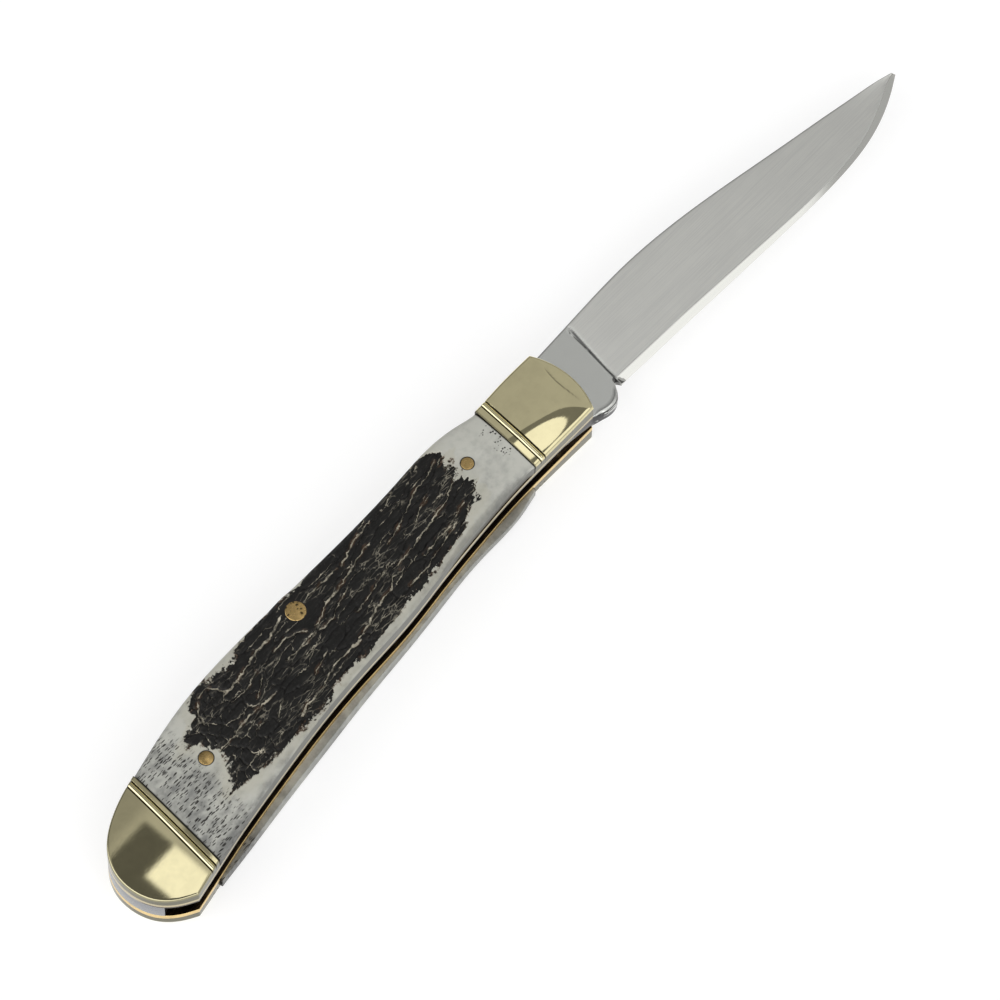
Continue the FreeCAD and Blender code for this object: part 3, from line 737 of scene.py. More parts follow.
# Heights of the rings down a cover's wall, as shares of it
WALL_SHARES = (1.0, 0.94, 0.82, 0.6, 0.4, 0.2, 0.0)
# How much of the wall's painted shade its upper edge has at least, and how fast bark ends down a wall
WALL_EDGE_SHARE = 0.5
BARK_WALL_DROP = 1.8


def cover_shell(xy, z, marks, wall_shade=1.0):
    """A cover as one closed shell: its top grid, a wall down to the liner and a flat underside. The wall is
    marked with a share of painted shade.
    """
    shell = Shell()
    floor = COVER_LOW[2]
    top = shell.add(np.concatenate([xy, (floor + z)[..., None]], -1), {"wall": 0.0, **marks})
    shell.grid(top)
    ring = border(top)
    around = np.concatenate(shell.points)[ring]
    steps = np.array(WALL_SHARES)[:, None]
    wall = np.broadcast_to(around, (len(steps), *around.shape)).copy()
    wall[..., 2] = floor + (around[:, 2] - floor) * steps
    side = {k: np.broadcast_to(v[ring], wall.shape[:-1]).copy() for k, v in shell.marks[0].items()}
    # Painted shade: the wall below its edge takes the given share, its upper edge at least part of it
    side["wall"][1:] = wall_shade
    side["wall"][0] = np.maximum(side["wall"][0], WALL_EDGE_SHARE * wall_shade)
    if "recess" in side:
        side["recess"] *= smooth(0.55, 0.9, steps)
    if "inside" in side:
        side["inside"] -= BARK_WALL_DROP * (around[:, 2] - wall[..., 2])
    below = shell.add(wall, side)
    shell.tube(below)
    shell.cap(below[-1])
    return shell


def plate_shell(outline, low, high, ease):
    """A flat plate: an eased profile carried round a closed outline, with a flat face above and below."""
    ahead, behind = np.roll(outline, -1, axis=0), np.roll(outline, 1, axis=0)
    way = ahead - behind
    way /= np.linalg.norm(way, axis=1, keepdims=True)
    inward = np.stack([-way[:, 1], way[:, 0]], -1)
    area = (outline[:, 0] * ahead[:, 1] - ahead[:, 0] * outline[:, 1]).sum()
    inward *= np.sign(area)
    t = np.linspace(0, np.pi / 2, EASE_STEPS)
    inset = np.r_[ease * (1 - np.sin(t)), ease * (1 - np.cos(t))]
    rise = np.r_[low + ease * (1 - np.cos(t)), high - ease * (1 - np.sin(t))]
    shell = Shell()
    xy = outline + inset[:, None, None] * inward
    z = np.broadcast_to(rise[:, None, None], (*xy.shape[:-1], 1))
    rim = np.zeros(len(rise))
    rim[[0, -1]] = 1.0
    marks = {"face": rim[:, None], "slot": smooth(*SLOT_FACING, inward[:, 1])}
    rings = shell.add(np.concatenate([xy, z], -1), marks)
    shell.tube(rings)
    for ring in (rings[0], rings[-1]):
        inner = shell.add(np.concatenate(shell.points)[ring], {"face": 1.0, "slot": 0.0})
        shell.cap(inner)
    return shell


def turned_shell(place, profile, spots=0.0, count=72):
    """A turned piece: a profile of (radius, height) rows carried round an upright axis at place."""
    profile = np.asarray(profile, float)
    angle = np.linspace(0, 2 * np.pi, count, endpoint=False)
    shell = Shell()
    xyz = np.empty((len(profile), count, 3))
    xyz[..., 0] = place[0] + profile[:, :1] * np.cos(angle)
    xyz[..., 1] = place[1] + profile[:, :1] * np.sin(angle)
    xyz[..., 2] = profile[:, 1:]
    rings = shell.add(xyz, {"spots": spots})
    shell.tube(rings)
    return shell


# Materials


def put(tree, kind, inputs=None, **settings):
    """Adds a node, sets its settings, and sets or links its inputs by name or number."""
    node = tree.nodes.new(kind)
    for key, value in settings.items():
        setattr(node, key, value)
    for key, value in (inputs or {}).items():
        if isinstance(value, NodeSocket):
            tree.links.new(value, node.inputs[key])
        else:
            node.inputs[key].default_value = value
    return node


def rgba(colour_value):
    """A colour with full alpha."""
    return (*colour_value[:3], 1.0)


def mix(tree, share_value, a, b):
    """Colour a at share 0, b at share 1."""
    node = put(tree, "ShaderNodeMix", {0: share_value}, data_type="RGBA")
    for number, value in ((6, a), (7, b)):
        if isinstance(value, NodeSocket):
            tree.links.new(value, node.inputs[number])
        else:
            node.inputs[number].default_value = rgba(value)
    return node.outputs[2]


def sum_of(operation):
    """A function that puts one sum on two values into a tree."""

    def placed(tree, a, b=0.0):
        """Puts the sum into the tree and gives its output."""
        return put(tree, "ShaderNodeMath", {0: a, 1: b}, operation=operation).outputs[0]

    return placed


plus, minus, times = sum_of("ADD"), sum_of("SUBTRACT"), sum_of("MULTIPLY")
most, size_of = sum_of("MAXIMUM"), sum_of("ABSOLUTE")


def ramp(tree, value, low, high, start=0.0, end=1.0):
    """Maps low to high onto start to end along an S-curve."""
    inputs = {"Value": value, "From Min": low, "From Max": high, "To Min": start, "To Max": end}
    return put(tree, "ShaderNodeMapRange", inputs, interpolation_type="SMOOTHSTEP").outputs[0]


def mark(tree, name):
    """A piece's own attribute as a value."""
    return put(tree, "ShaderNodeAttribute", attribute_name=name).outputs["Fac"]


def new_group(name, inputs, outputs):
    """An empty shader node group with named value inputs and outputs."""
    tree = bpy.data.node_groups.new(name, "ShaderNodeTree")
    for key, default in inputs.items():
        tree.interface.new_socket(key, in_out="INPUT", socket_type="NodeSocketFloat").default_value = default
    for key in outputs:
        tree.interface.new_socket(key, in_out="OUTPUT", socket_type="NodeSocketFloat")
    return tree, tree.nodes.new("NodeGroupInput").outputs, tree.nodes.new("NodeGroupOutput").inputs


def place_in(tree):
    """Object coordinates, in metres."""
    return put(tree, "ShaderNodeTexCoord").outputs["Object"]


def clouds(tree, vector, scale, detail, roughness=0.5):
    """A noise texture's node."""
    inputs = {"Vector": vector, "Scale": scale, "Detail": detail, "Roughness": roughness}
    return put(tree, "ShaderNodeTexNoise", inputs)


def spread(tree, vector, factors):
    """A vector times another."""
    return put(tree, "ShaderNodeVectorMath", {0: vector, 1: factors}, operation="MULTIPLY").outputs[0]


def swayed(tree, place, scale, detail):
    """Places moved about by a noise."""
    wobble = clouds(tree, place, scale, detail)
    moved = put(tree, "ShaderNodeVectorMath", {0: place, 1: wobble.outputs["Color"]}, operation="ADD")
    return moved.outputs[0]


def stretched(tree, along, across):
    """Object coordinates scaled along the knife and across it, per metre."""
    place = place_in(tree)
    sizes = put(tree, "ShaderNodeCombineXYZ", {0: along, 1: across, 2: across}).outputs[0]
    return spread(tree, place, sizes)


def lines_group():
    """Fine parallel lines along the knife, as satin and polishing leave them."""
    tree, inside, out = new_group("Fine lines", {"Along": 90.0, "Across": 5200.0}, ["Lines", "Drift"])
    fine = stretched(tree, inside["Along"], inside["Across"])
    strands = clouds(tree, fine, 1.0, 4.0, 0.65)
    tree.links.new(strands.outputs["Fac"], out["Lines"])
    drift = clouds(tree, spread(tree, fine, (0.22, 0.12, 0.12)), 1.0, 2.0)
    tree.links.new(drift.outputs["Fac"], out["Drift"])
    return tree


def tarnish_group():
    """Blotches of tarnish and handling, with fine specks among them."""
    tree, inside, out = new_group("Tarnish", {"Size": 700.0, "Specks": 4200.0}, ["Blotch", "Speck"])
    place = place_in(tree)
    cloud = clouds(tree, place, inside["Size"], 5.0, 0.6)
    tree.links.new(cloud.outputs["Fac"], out["Blotch"])
    dust = clouds(tree, place, inside["Specks"], 2.0)
    tree.links.new(ramp(tree, dust.outputs["Fac"], 0.62, 0.74), out["Speck"])
    return tree


def pores_group():
    """Short dark pores: scattered spots stretched along the knife, some left out, in drifting numbers."""
    tree, inside, out = new_group("Pores", {"Along": 1900.0, "Across": 5200.0, "Fill": 0.5}, ["Pore"])
    place = stretched(tree, inside["Along"], inside["Across"])
    moved = swayed(tree, place, 0.35, 2.0)
    spots = put(tree, "ShaderNodeTexVoronoi", {"Vector": moved, "Scale": 1.0}, feature="F1")
    chance = put(tree, "ShaderNodeSeparateColor", {0: spots.outputs["Color"]}).outputs[0]
    cloud = clouds(tree, place, 0.16, 4.0, 0.6)
    fill = plus(tree, times(tree, cloud.outputs["Fac"], 0.8), minus(tree, inside["Fill"], 0.4))
    kept = ramp(tree, minus(tree, fill, chance), 0.0, 0.25)
    near = minus(tree, times(tree, kept, 0.42), spots.outputs["Distance"])
    tree.links.new(ramp(tree, near, -0.08, 0.12), out["Pore"])
    return tree


def cracks_group():
    """Thin cracks: borders of scattered cells stretched along the knife, open only in places."""
    tree, inside, out = new_group("Cracks", {"Along": 420.0, "Across": 1500.0}, ["Line"])
    place = stretched(tree, inside["Along"], inside["Across"])
    moved = swayed(tree, place, 0.8, 3.0)
    cell = put(tree, "ShaderNodeTexVoronoi", {"Vector": moved, "Scale": 1.0}, feature="DISTANCE_TO_EDGE")
    gate = clouds(tree, place, 0.3, 2.0)
    line = ramp(tree, cell.outputs["Distance"], 0.07, 0.015)
    tree.links.new(times(tree, line, ramp(tree, gate.outputs["Fac"], 0.5, 0.62)), out["Line"])
    return tree


def pin_ring(tree, node, width):
    """1 in a ring of this width round a pin's hole, from the distance to its axis."""
    (px, py), radius = place_of(node)
    flat = spread(tree, place_in(tree), (1, 1, 0))
    axis = (px * MM, py * MM, 0)
    far = put(tree, "ShaderNodeVectorMath", {0: flat, 1: axis}, operation="DISTANCE").outputs["Value"]
    return ramp(tree, far, (radius + width) * MM, (radius + 0.4 * width) * MM)


def shared_group(name):
    """The node group of that name, built the first time it is asked for."""
    return bpy.data.node_groups.get(name) or EFFECTS[name]()


EFFECTS = {
    "Fine lines": lines_group,
    "Tarnish": tarnish_group,
    "Pores": pores_group,
    "Cracks": cracks_group,
}


def effect(tree, name, **inputs):
    """Places a shared node group in a material with its own values."""
    node = put(tree, "ShaderNodeGroup", node_tree=shared_group(name))
    for key, value in inputs.items():
        node.inputs[key].default_value = value
    return node.outputs


def new_material(name, **sockets):
    """A Principled material with plain values on the shader's own sockets."""
    material = bpy.data.materials.new(name)
    material.use_nodes = True
    shader = material.node_tree.nodes["Principled BSDF"]
    for key, value in sockets.items():
        shader.inputs[key.replace("_", " ")].default_value = value
    return material, material.node_tree, shader


def feed(tree, shader, height=None, depth=0.02, **sockets):
    """Links varying colours and values to the shader, and a height through a bump in millimetres."""
    for key, value in sockets.items():
        tree.links.new(value, shader.inputs[key.replace("_", " ")])
    if height is not None:
        bump = put(tree, "ShaderNodeBump", {"Height": height, "Distance": depth * MM, "Strength": 1.0})
        tree.links.new(bump.outputs[0], shader.inputs["Normal"])


def shared_material(name):
    """The material of that name, built the first time it is asked for."""
    return bpy.data.materials.get(name) or MATERIALS[name]()


def nickel_material():
    """Polished nickel silver with faint polishing lines, side walls duller and darkened by painted shade, and
    tarnish down in the grooves.
    """
    look = values("knife_metal")
    material, tree, shader = new_material("polished_nickel", Metallic=1.0)
    lines = effect(tree, "Fine lines", Along=900.0, Across=5200.0)
    cloud = effect(tree, "Tarnish", Size=420.0, Specks=5200.0)
    dull = times(tree, mark(tree, "recess"), 0.92)
    wall = mark(tree, "wall")
    warm = [0.93 * c for c in look.nickel]
    tone = mix(tree, ramp(tree, cloud["Blotch"], 0.35, 0.7), look.nickel, warm)
    # Painted shade: the walls and the rear bolster's rim take the darker wall colour; their added roughness
    # is real
    tone = mix(tree, wall, tone, look.nickel_wall_shade)
    rough = plus(tree, ramp(tree, lines["Lines"], 0.3, 0.75, 0.02, 0.05), times(tree, dull, 0.3))
    feed(
        tree, shader, height=lines["Lines"], depth=0.0006,
        Base_Color=mix(tree, dull, tone, look.nickel_dull),
        Roughness=plus(tree, rough, times(tree, wall, 0.16)),
    )
    return material


def liner_material():
    """Brass liner: bright edges, the upper edge paler as a painted reflection and darkened towards the slot
    as painted shade, and faces brown with oil and dirt and darkened further as painted shade.
    """
    look = values("knife_metal")
    material, tree, shader = new_material("brass_sheet", Metallic=1.0)
    lines = effect(tree, "Fine lines", Along=160.0, Across=4200.0)
    cloud = effect(tree, "Tarnish", Size=600.0, Specks=3600.0)
    # Faces: blotchy tarnish, also painted shade inside the slot and on the exposed ledge
    faces = times(tree, mark(tree, "face"), ramp(tree, cloud["Blotch"], 0.2, 0.5, 0.85, 1.0))
    worn = [0.82 * c for c in look.brass]
    edge = mix(tree, ramp(tree, cloud["Blotch"], 0.45, 0.75), look.brass, worn)
    height = put(tree, "ShaderNodeSeparateXYZ", {0: place_in(tree)}).outputs["Z"]
    upper = ramp(tree, height, MID_Z * MM, (MID_Z + 0.5) * MM)
    # Painted reflection: the upper liner's edge is paler
    edge = mix(tree, upper, edge, look.brass_pale_reflection)
    # Painted shade: the upper liner's edge darkens by the slot, where the gap's shadow falls
    shade_by_slot = ramp(tree, height, (LINER_LOW[2] + 0.5) * MM, (LINER_LOW[2] + 0.3) * MM)
    painted_slot_shade = times(tree, upper, shade_by_slot)
    faces = most(tree, faces, times(tree, painted_slot_shade, mark(tree, "slot")))
    feed(
        tree, shader, height=lines["Lines"], depth=0.003,
        Base_Color=mix(tree, faces, edge, look.brass_tarnish_and_shade),
        Roughness=ramp(tree, lines["Lines"], 0.3, 0.75, 0.22, 0.36),
    )
    return material


def pin_material():
    """Brass pin heads, hammered and spotted."""
    look = values("knife_metal")
    material, tree, shader = new_material("brass_rod", Metallic=1.0)
    cloud = effect(tree, "Tarnish", Size=1500.0, Specks=1300.0)
    lines = effect(tree, "Fine lines", Along=2600.0, Across=6000.0)
    pits = effect(tree, "Pores", Along=1900.0, Across=1900.0, Fill=0.6)
    spots = times(tree, times(tree, pits["Pore"], 0.9), mark(tree, "spots"))
    worn = [0.74 * c for c in look.pin_brass]
    tone = mix(tree, ramp(tree, cloud["Blotch"], 0.35, 0.65), look.pin_brass, worn)
    height = minus(tree, plus(tree, cloud["Blotch"], times(tree, lines["Lines"], 0.4)), spots)
    feed(
        tree, shader, height=height, depth=0.02,
        Base_Color=mix(tree, spots, tone, look.pin_spot),
        Roughness=ramp(tree, cloud["Blotch"], 0.3, 0.7, 0.22, 0.38),
    )
    return material


# Middle of the plunge's painted dark line past the start of the grind
PLUNGE_DEEP = 0.36


def steel_material():
    """Satin blade steel: lines on the flanks, a polished bevel, a painted dark reflection along the plunge
    line, painted dark lines along the spine, bevel and kick, and painted dark streaks under the kick.
    """
    look, blade = values("knife_metal"), values("knife_blade")
    material, tree, shader = new_material("satin_steel", Metallic=1.0)
    lines = effect(tree, "Fine lines", Along=90.0, Across=7000.0)
    cloud = effect(tree, "Tarnish", Size=260.0, Specks=2400.0)
    flank, bevel, under = mark(tree, "flank"), mark(tree, "bevel"), mark(tree, "under")
    satin = plus(tree, times(tree, flank, 0.75), 0.2)
    streak = times(tree, ramp(tree, lines["Lines"], 0.42, 0.62), satin)
    tone = mix(tree, streak, look.steel, look.steel_streak)
    tone = mix(tree, ramp(tree, cloud["Blotch"], 0.3, 0.7, 0.0, 0.35), tone, look.steel_streak)
    tone = mix(tree, flank, mix(tree, bevel, look.steel_bright, look.steel), tone)
    parts = put(tree, "ShaderNodeSeparateXYZ", {0: place_in(tree)}).outputs
    lean = times(tree, parts["Y"], math.tan(blade.plunge_tilt))
    past = minus(tree, minus(tree, parts["X"], lean), blade.plunge_reach * MM)
    # Painted dark reflection along the plunge's cove
    deep = ramp(tree, size_of(tree, minus(tree, past, PLUNGE_DEEP * MM)), 0.40 * MM, 0.06 * MM)
    first = ramp(tree, size_of(tree, past), 0.16 * MM, 0.02 * MM, 0.0, 0.65)
    ground = ramp(tree, mark(tree, "plunge"), 0.0, 0.16)
    shade = times(tree, most(tree, deep, first), ground)
    # Painted dark lines along the spine's edge, the bevel's border and the kick's rounded edge
    shade = most(tree, shade, times(tree, mark(tree, "rim"), 0.8))
    bands = effect(tree, "Fine lines", Along=110.0, Across=1500.0)
    # Painted dark reflection streaks under the kick
    dark_reflection_streaks = times(tree, under, ramp(tree, bands["Lines"], 0.68, 0.54))
    shade = most(tree, times(tree, shade, 0.85), dark_reflection_streaks)
    plain = minus(tree, 1.0, most(tree, bevel, under))
    rough = plus(tree, times(tree, flank, 0.10), ramp(tree, lines["Lines"], 0.3, 0.7, 0.12, 0.18))
    feed(
        tree, shader, height=times(tree, times(tree, lines["Lines"], satin), plain), depth=0.005,
        Base_Color=mix(tree, shade, tone, look.steel_shade),
        Roughness=plus(tree, times(tree, rough, plain), 0.08),
    )
    return material


def spring_material():
    """Backspring steel: polished edges, hidden faces dark with oil."""
    look = values("knife_metal")
    material, tree, shader = new_material("oiled_steel", Metallic=1.0)
    lines = effect(tree, "Fine lines", Along=160.0, Across=4200.0)
    feed(
        tree, shader, height=lines["Lines"], depth=0.003,
        Base_Color=mix(tree, mark(tree, "face"), look.spring, look.spring_dull),
        Roughness=ramp(tree, lines["Lines"], 0.3, 0.75, 0.2, 0.34),
    )
    return material


# How far crumbs of bark move its border and its lines, and the dirty ring round a pin
BARK_JAG = 1.5
LINE_JAG = 0.50
PIN_RING = 0.2


def stag_material():
    """Stag: dark bark with rust-brown borders and pale fissures, between polished bone with dark pores."""
    look = values("knife_stag")
    material, tree, shader = new_material("antler", IOR=1.42, Specular_IOR_Level=0.25)
    cloud = effect(tree, "Tarnish", Size=900.0, Specks=3400.0)
    crumb = effect(tree, "Tarnish", Size=3000.0, Specks=6000.0)
    grain = effect(tree, "Fine lines", Along=420.0, Across=2600.0)
    dashes = effect(tree, "Pores", Along=950.0, Across=5000.0, Fill=0.72)
    dots = effect(tree, "Pores", Along=2600.0, Across=3000.0, Fill=0.5)
    cracks = effect(tree, "Cracks", Along=420.0, Across=1500.0)
    jag = minus(tree, crumb["Blotch"], 0.5)
    strands = minus(tree, grain["Lines"], 0.5)
    inside = mark(tree, "inside")

    def opening(name):
        """1 along the lines whose signed distance is that attribute, with ragged sides."""
        off = size_of(tree, plus(tree, mark(tree, name), times(tree, jag, LINE_JAG)))
        wide = plus(tree, mark(tree, name + "_half"), times(tree, strands, 0.18))
        line = ramp(tree, minus(tree, off, wide), 0.03, -0.03)
        return times(tree, line, ramp(tree, mark(tree, name + "_near"), 0.42, 0.34))

    dash = times(tree, dashes["Pore"], mark(tree, "pores"))
    dot = times(tree, dots["Pore"], mark(tree, "dots"))
    pore = ramp(tree, most(tree, dash, dot), 0.12, 0.6)
    drift = times(tree, minus(tree, cloud["Blotch"], 0.5), 0.9)
    streaks = times(tree, minus(tree, grain["Drift"], 0.5), 0.8)
    # Grey: the bone's own tone, and painted shade where the scale greys along its slot edge
    grey = plus(tree, mark(tree, "grey"), plus(tree, drift, streaks))
    bone = mix(tree, ramp(tree, grey, 0.0, 1.0), look.bone, look.bone_grey_and_shade)
    bone = mix(tree, ramp(tree, inside, -2.6, -0.2, 0.0, 0.6), bone, look.bone_warm)
    # Painted shade on the scales' walls and on the upper scale's bevel
    wall = times(tree, mark(tree, "wall"), ramp(tree, grain["Drift"], 0.3, 0.7, 0.8, 1.0))
    bone = mix(tree, wall, bone, look.bone_wall_shade)
    bone = mix(tree, times(tree, pore, 0.92), bone, look.pore)
    ragged = plus(tree, inside, plus(tree, times(tree, jag, BARK_JAG), times(tree, strands, 0.5)))
    stain = mark(tree, "stain")
    bone = mix(tree, times(tree, ramp(tree, ragged, -0.35, -0.05, 0.0, 0.8), stain), bone, look.rust)
    crust = ramp(tree, ragged, -0.06, 0.06)
    rubbed = ramp(tree, plus(tree, grain["Lines"], times(tree, cloud["Speck"], 0.35)), 0.48, 0.85)
    bark = mix(tree, rubbed, look.bark, look.bark_light)
    by_line, by_border = ramp(tree, mark(tree, "fissure_near"), 0.5, 0.1), ramp(tree, ragged, 0.4, 0.0)
    beside = most(tree, by_line, by_border)
    bark = mix(tree, times(tree, times(tree, beside, stain), 0.6), bark, look.rust)
    seam = times(tree, opening("seam"), mark(tree, "seam_pale"))
    fissure = opening("fissure")
    pale = most(tree, fissure, most(tree, seam, times(tree, cracks["Line"], 0.35)))
    pale = times(tree, pale, ramp(tree, cloud["Blotch"], 0.40, 0.58, 0.25, 1.0))
    bark = mix(tree, pale, bark, look.vein)
    tone = mix(tree, crust, bone, bark)
    dirt = mark(tree, "grime")
    for node in SEEN_PINS:
        dirt = most(tree, dirt, pin_ring(tree, node, PIN_RING))
    relief = times(tree, minus(tree, grain["Lines"], times(tree, pale, 0.6)), crust)
    feed(
        tree, shader, height=minus(tree, times(tree, relief, 0.8), pore), depth=0.07,
        Base_Color=mix(tree, dirt, tone, look.pore),
        Roughness=ramp(tree, crust, 0.0, 1.0, 0.36, 0.52),
    )
    return material


MATERIALS = {
    "polished_nickel": nickel_material,
    "brass_sheet": liner_material,
    "brass_rod": pin_material,
    "satin_steel": steel_material,
    "oiled_steel": spring_material,
    "antler": stag_material,
}


# Pieces


# How square the bead between the grooves is
BEAD_POWER = 2.4


def groove_drop(g, offset):
    """Depth of the two grooves at distance g from the joint: a rounded bead between two narrow dips."""
    c = values("knife_covers")
    half = (c.bead_width + c.groove_width) / 2
    off = np.abs(g - offset - c.groove_width / 2 - half)
    bead = np.abs(off / half) ** BEAD_POWER
    side = np.clip(1 - ((off - half) / (c.groove_width / 2)) ** 2, 0, 1)
    return c.groove_depth * np.where(off < half, bead, side)


# Front bolster's fall to the slot: X where it grows to the joint and where it ends by the nose, then the
# line that it starts from: its Y over FALL_FOOT, its lean, and its bend past FALL_BEND_FROM
FALL_ALONG, FALL_END = (8.2, -4.2), (6.9, 5.6)
FALL_START, FALL_FOOT, FALL_LEAN = 0.95, -4, 0.25
FALL_BEND, FALL_BEND_FROM, FALL_POWER = 0.025, 1, 3.2
FALL_PAST_SLOT, FALL_LEAST = 0.5, 0.3


def front_fall(x, y):
    """Fall of the front bolster to the slot: an S-curve across it, deepest by the joint, gone at the nose."""
    c, h = values("knife_covers"), values("knife_handle")
    depth = c.front_dome * smooth(*FALL_ALONG, x) * smooth(*FALL_END, x)
    bend = FALL_BEND * np.clip(x - FALL_BEND_FROM, 0, None) ** FALL_POWER
    start = FALL_START - FALL_LEAN * (x - FALL_FOOT) - bend
    width = np.maximum(start + h.slot_depth + FALL_PAST_SLOT, FALL_LEAST)
    return depth * smooth(0, 1, (start - y) / width)


# Softness of the rear bolster's ridge, and how its slope steepens behind it, per millimetre
RIDGE_SOFTNESS = 0.06
BUTT_BEND = 0.04


def rear_fall(x, y):
    """Fall of the rear bolster: a low arch across it, a slope to the butt that steepens at a faint ridge."""
    c = values("knife_covers")
    behind = beyond(-c.rear_ridge - x, RIDGE_SOFTNESS)
    slope = c.rear_lead * beyond(-c.rear_joint - x, RIDGE_SOFTNESS)
    slope += (c.rear_slope - c.rear_lead) * behind + BUTT_BEND * c.rear_slope * behind**2
    return c.rear_arch * (y + c.rear_crest) ** 2 / 2 + slope


# How far the close steps over the grooves reach past them
GROOVE_MARGIN = 0.06


def joint_steps(offset):
    """Distances from a joint: close over its eased edge and its grooves."""
    c = values("knife_covers")
    groove_end = offset + 2 * c.groove_width + c.bead_width
    ease = c.joint_ease * (1 - np.cos(np.linspace(0, np.pi / 2, 7)))
    grooved = np.linspace(offset - GROOVE_MARGIN, groove_end + GROOVE_MARGIN, 64)
    return np.r_[ease, np.linspace(c.joint_ease, grooved[0], 6)[1:-1], grooved]


def bolster_marks(g, offset):
    """Attributes of a bolster: tarnish in its grooves and along its joint."""
    c = values("knife_covers")
    dark = smooth(0.22, 0.65, groove_drop(g, offset) / c.groove_depth)
    return {"recess": np.maximum(dark, 1 - smooth(0.05, 0.2, g))}


# Fine line scored across the front bolster: its X, the Y where it bends, its bends above and below that,
# its width, depth and darkness, and the Y where it fades
SCORE_REACH, SCORE_CREST = 5.47, 1.2
SCORE_OVER, SCORE_UNDER = 0.035, 0.03
SCORE_WIDTH, SCORE_DEPTH, SCORE_TONE = 0.07, 0.03, 0.75
SCORE_TOP, SCORE_FOOT = (5.4, 3.6), (-3.0, 0.5)


def scored_line(x, y):
    """1 along the line scored across the front bolster, and a bell curve down to 0 beside it."""
    over, under = np.clip(y - SCORE_CREST, 0, None), np.clip(SCORE_CREST - y, 0, None)
    line = SCORE_REACH + SCORE_OVER * over**2 + SCORE_UNDER * under
    return np.exp(-(((x - line) / SCORE_WIDTH) ** 2)) * smooth(*SCORE_TOP, y) * smooth(*SCORE_FOOT, y)


# Front bolster's grid: where the close stations by the nose begin, how far close steps reach, and counts
FRONT_RIM_FROM, FRONT_RIM_REACH, FRONT_ROW_REACH = 1.2, 1.1, 1.2
FRONT_STATIONS, FRONT_ROWS = 90, 70
# Softness of the nose's facet, and the distance to its arc as a share of that along X
FACET_SOFTNESS = 0.15
NOSE_LEAN = 0.97


def front_bolster_shell():
    """Front bolster: stations from the joint to the nose's arc, rows from slot to back. From its thickness
    its top falls by an S-curve to the slot, a facet to the nose, round edges, grooves and the joint's ease.
    """
    c, h = values("knife_covers"), values("knife_handle")
    back, slot = handle_curves()
    front = h.nose_reach - h.nose_bulge
    steps = joint_steps(c.front_groove)
    rest = np.linspace(steps[-1], front + c.front_joint - FRONT_RIM_FROM, FRONT_STATIONS)[1:]
    rim = front + c.front_joint - rim_steps(c.edge_round, FRONT_RIM_REACH)[::-1]
    way = np.r_[steps, rest, rim] / (front + c.front_joint)
    tilt = c.front_tilt * (1 - way**3)
    centre = -c.front_joint + way * (front + c.front_joint)
    low = crossing(slot, centre, tilt)
    high = crossing(back[: back[:, 0].argmin()], centre, tilt)
    low[-1], high[-1] = slot[-1], back[0]
    span = np.linalg.norm(high - low, axis=1)
    xy, to_slot, to_back = strip(low, high, span, rim_steps(c.slot_round, FRONT_ROW_REACH), FRONT_ROWS)
    bulge = nose_arc(np.clip(xy[..., 1], -h.slot_depth, h.back_height)) - front
    xy[..., 0] += bulge * way[:, None] ** 3
    near_nose = (nose_arc(np.clip(xy[..., 1], -h.slot_depth, h.back_height)) - xy[..., 0]) * NOSE_LEAN
    d = np.minimum(to_back, np.maximum(near_nose, 0))
    g = (xy[..., 0] + c.front_joint - xy[..., 1] * np.tan(c.front_tilt)) * np.cos(c.front_tilt)
    z = COVER_THICKNESS - front_fall(xy[..., 0], xy[..., 1])
    z -= np.maximum(edge_fall(d, c.edge_round, c.edge_rise), edge_fall(to_slot, c.slot_round, c.slot_rise))
    z -= c.nose_slope * beyond(xy[..., 0] - c.nose_facet, FACET_SOFTNESS)
    z -= groove_drop(g, c.front_groove) + eased(g, c.joint_ease)
    marks = bolster_marks(g, c.front_groove)
    scored = scored_line(xy[..., 0], xy[..., 1])
    z -= SCORE_DEPTH * scored
    marks["recess"] = np.maximum(marks["recess"], SCORE_TONE * scored)
    return cover_shell(xy, z, marks)


# Rear bolster's grid: length of its last stretch, where stations crowd, and counts; then the share of painted
# shade on its rim, which dims the highlight there
TAIL_REACH = 2.6
BODY_STATIONS, TAIL_STATIONS, REAR_ROWS = 36, 44, 64
REAR_RIM_SHADE = 0.75


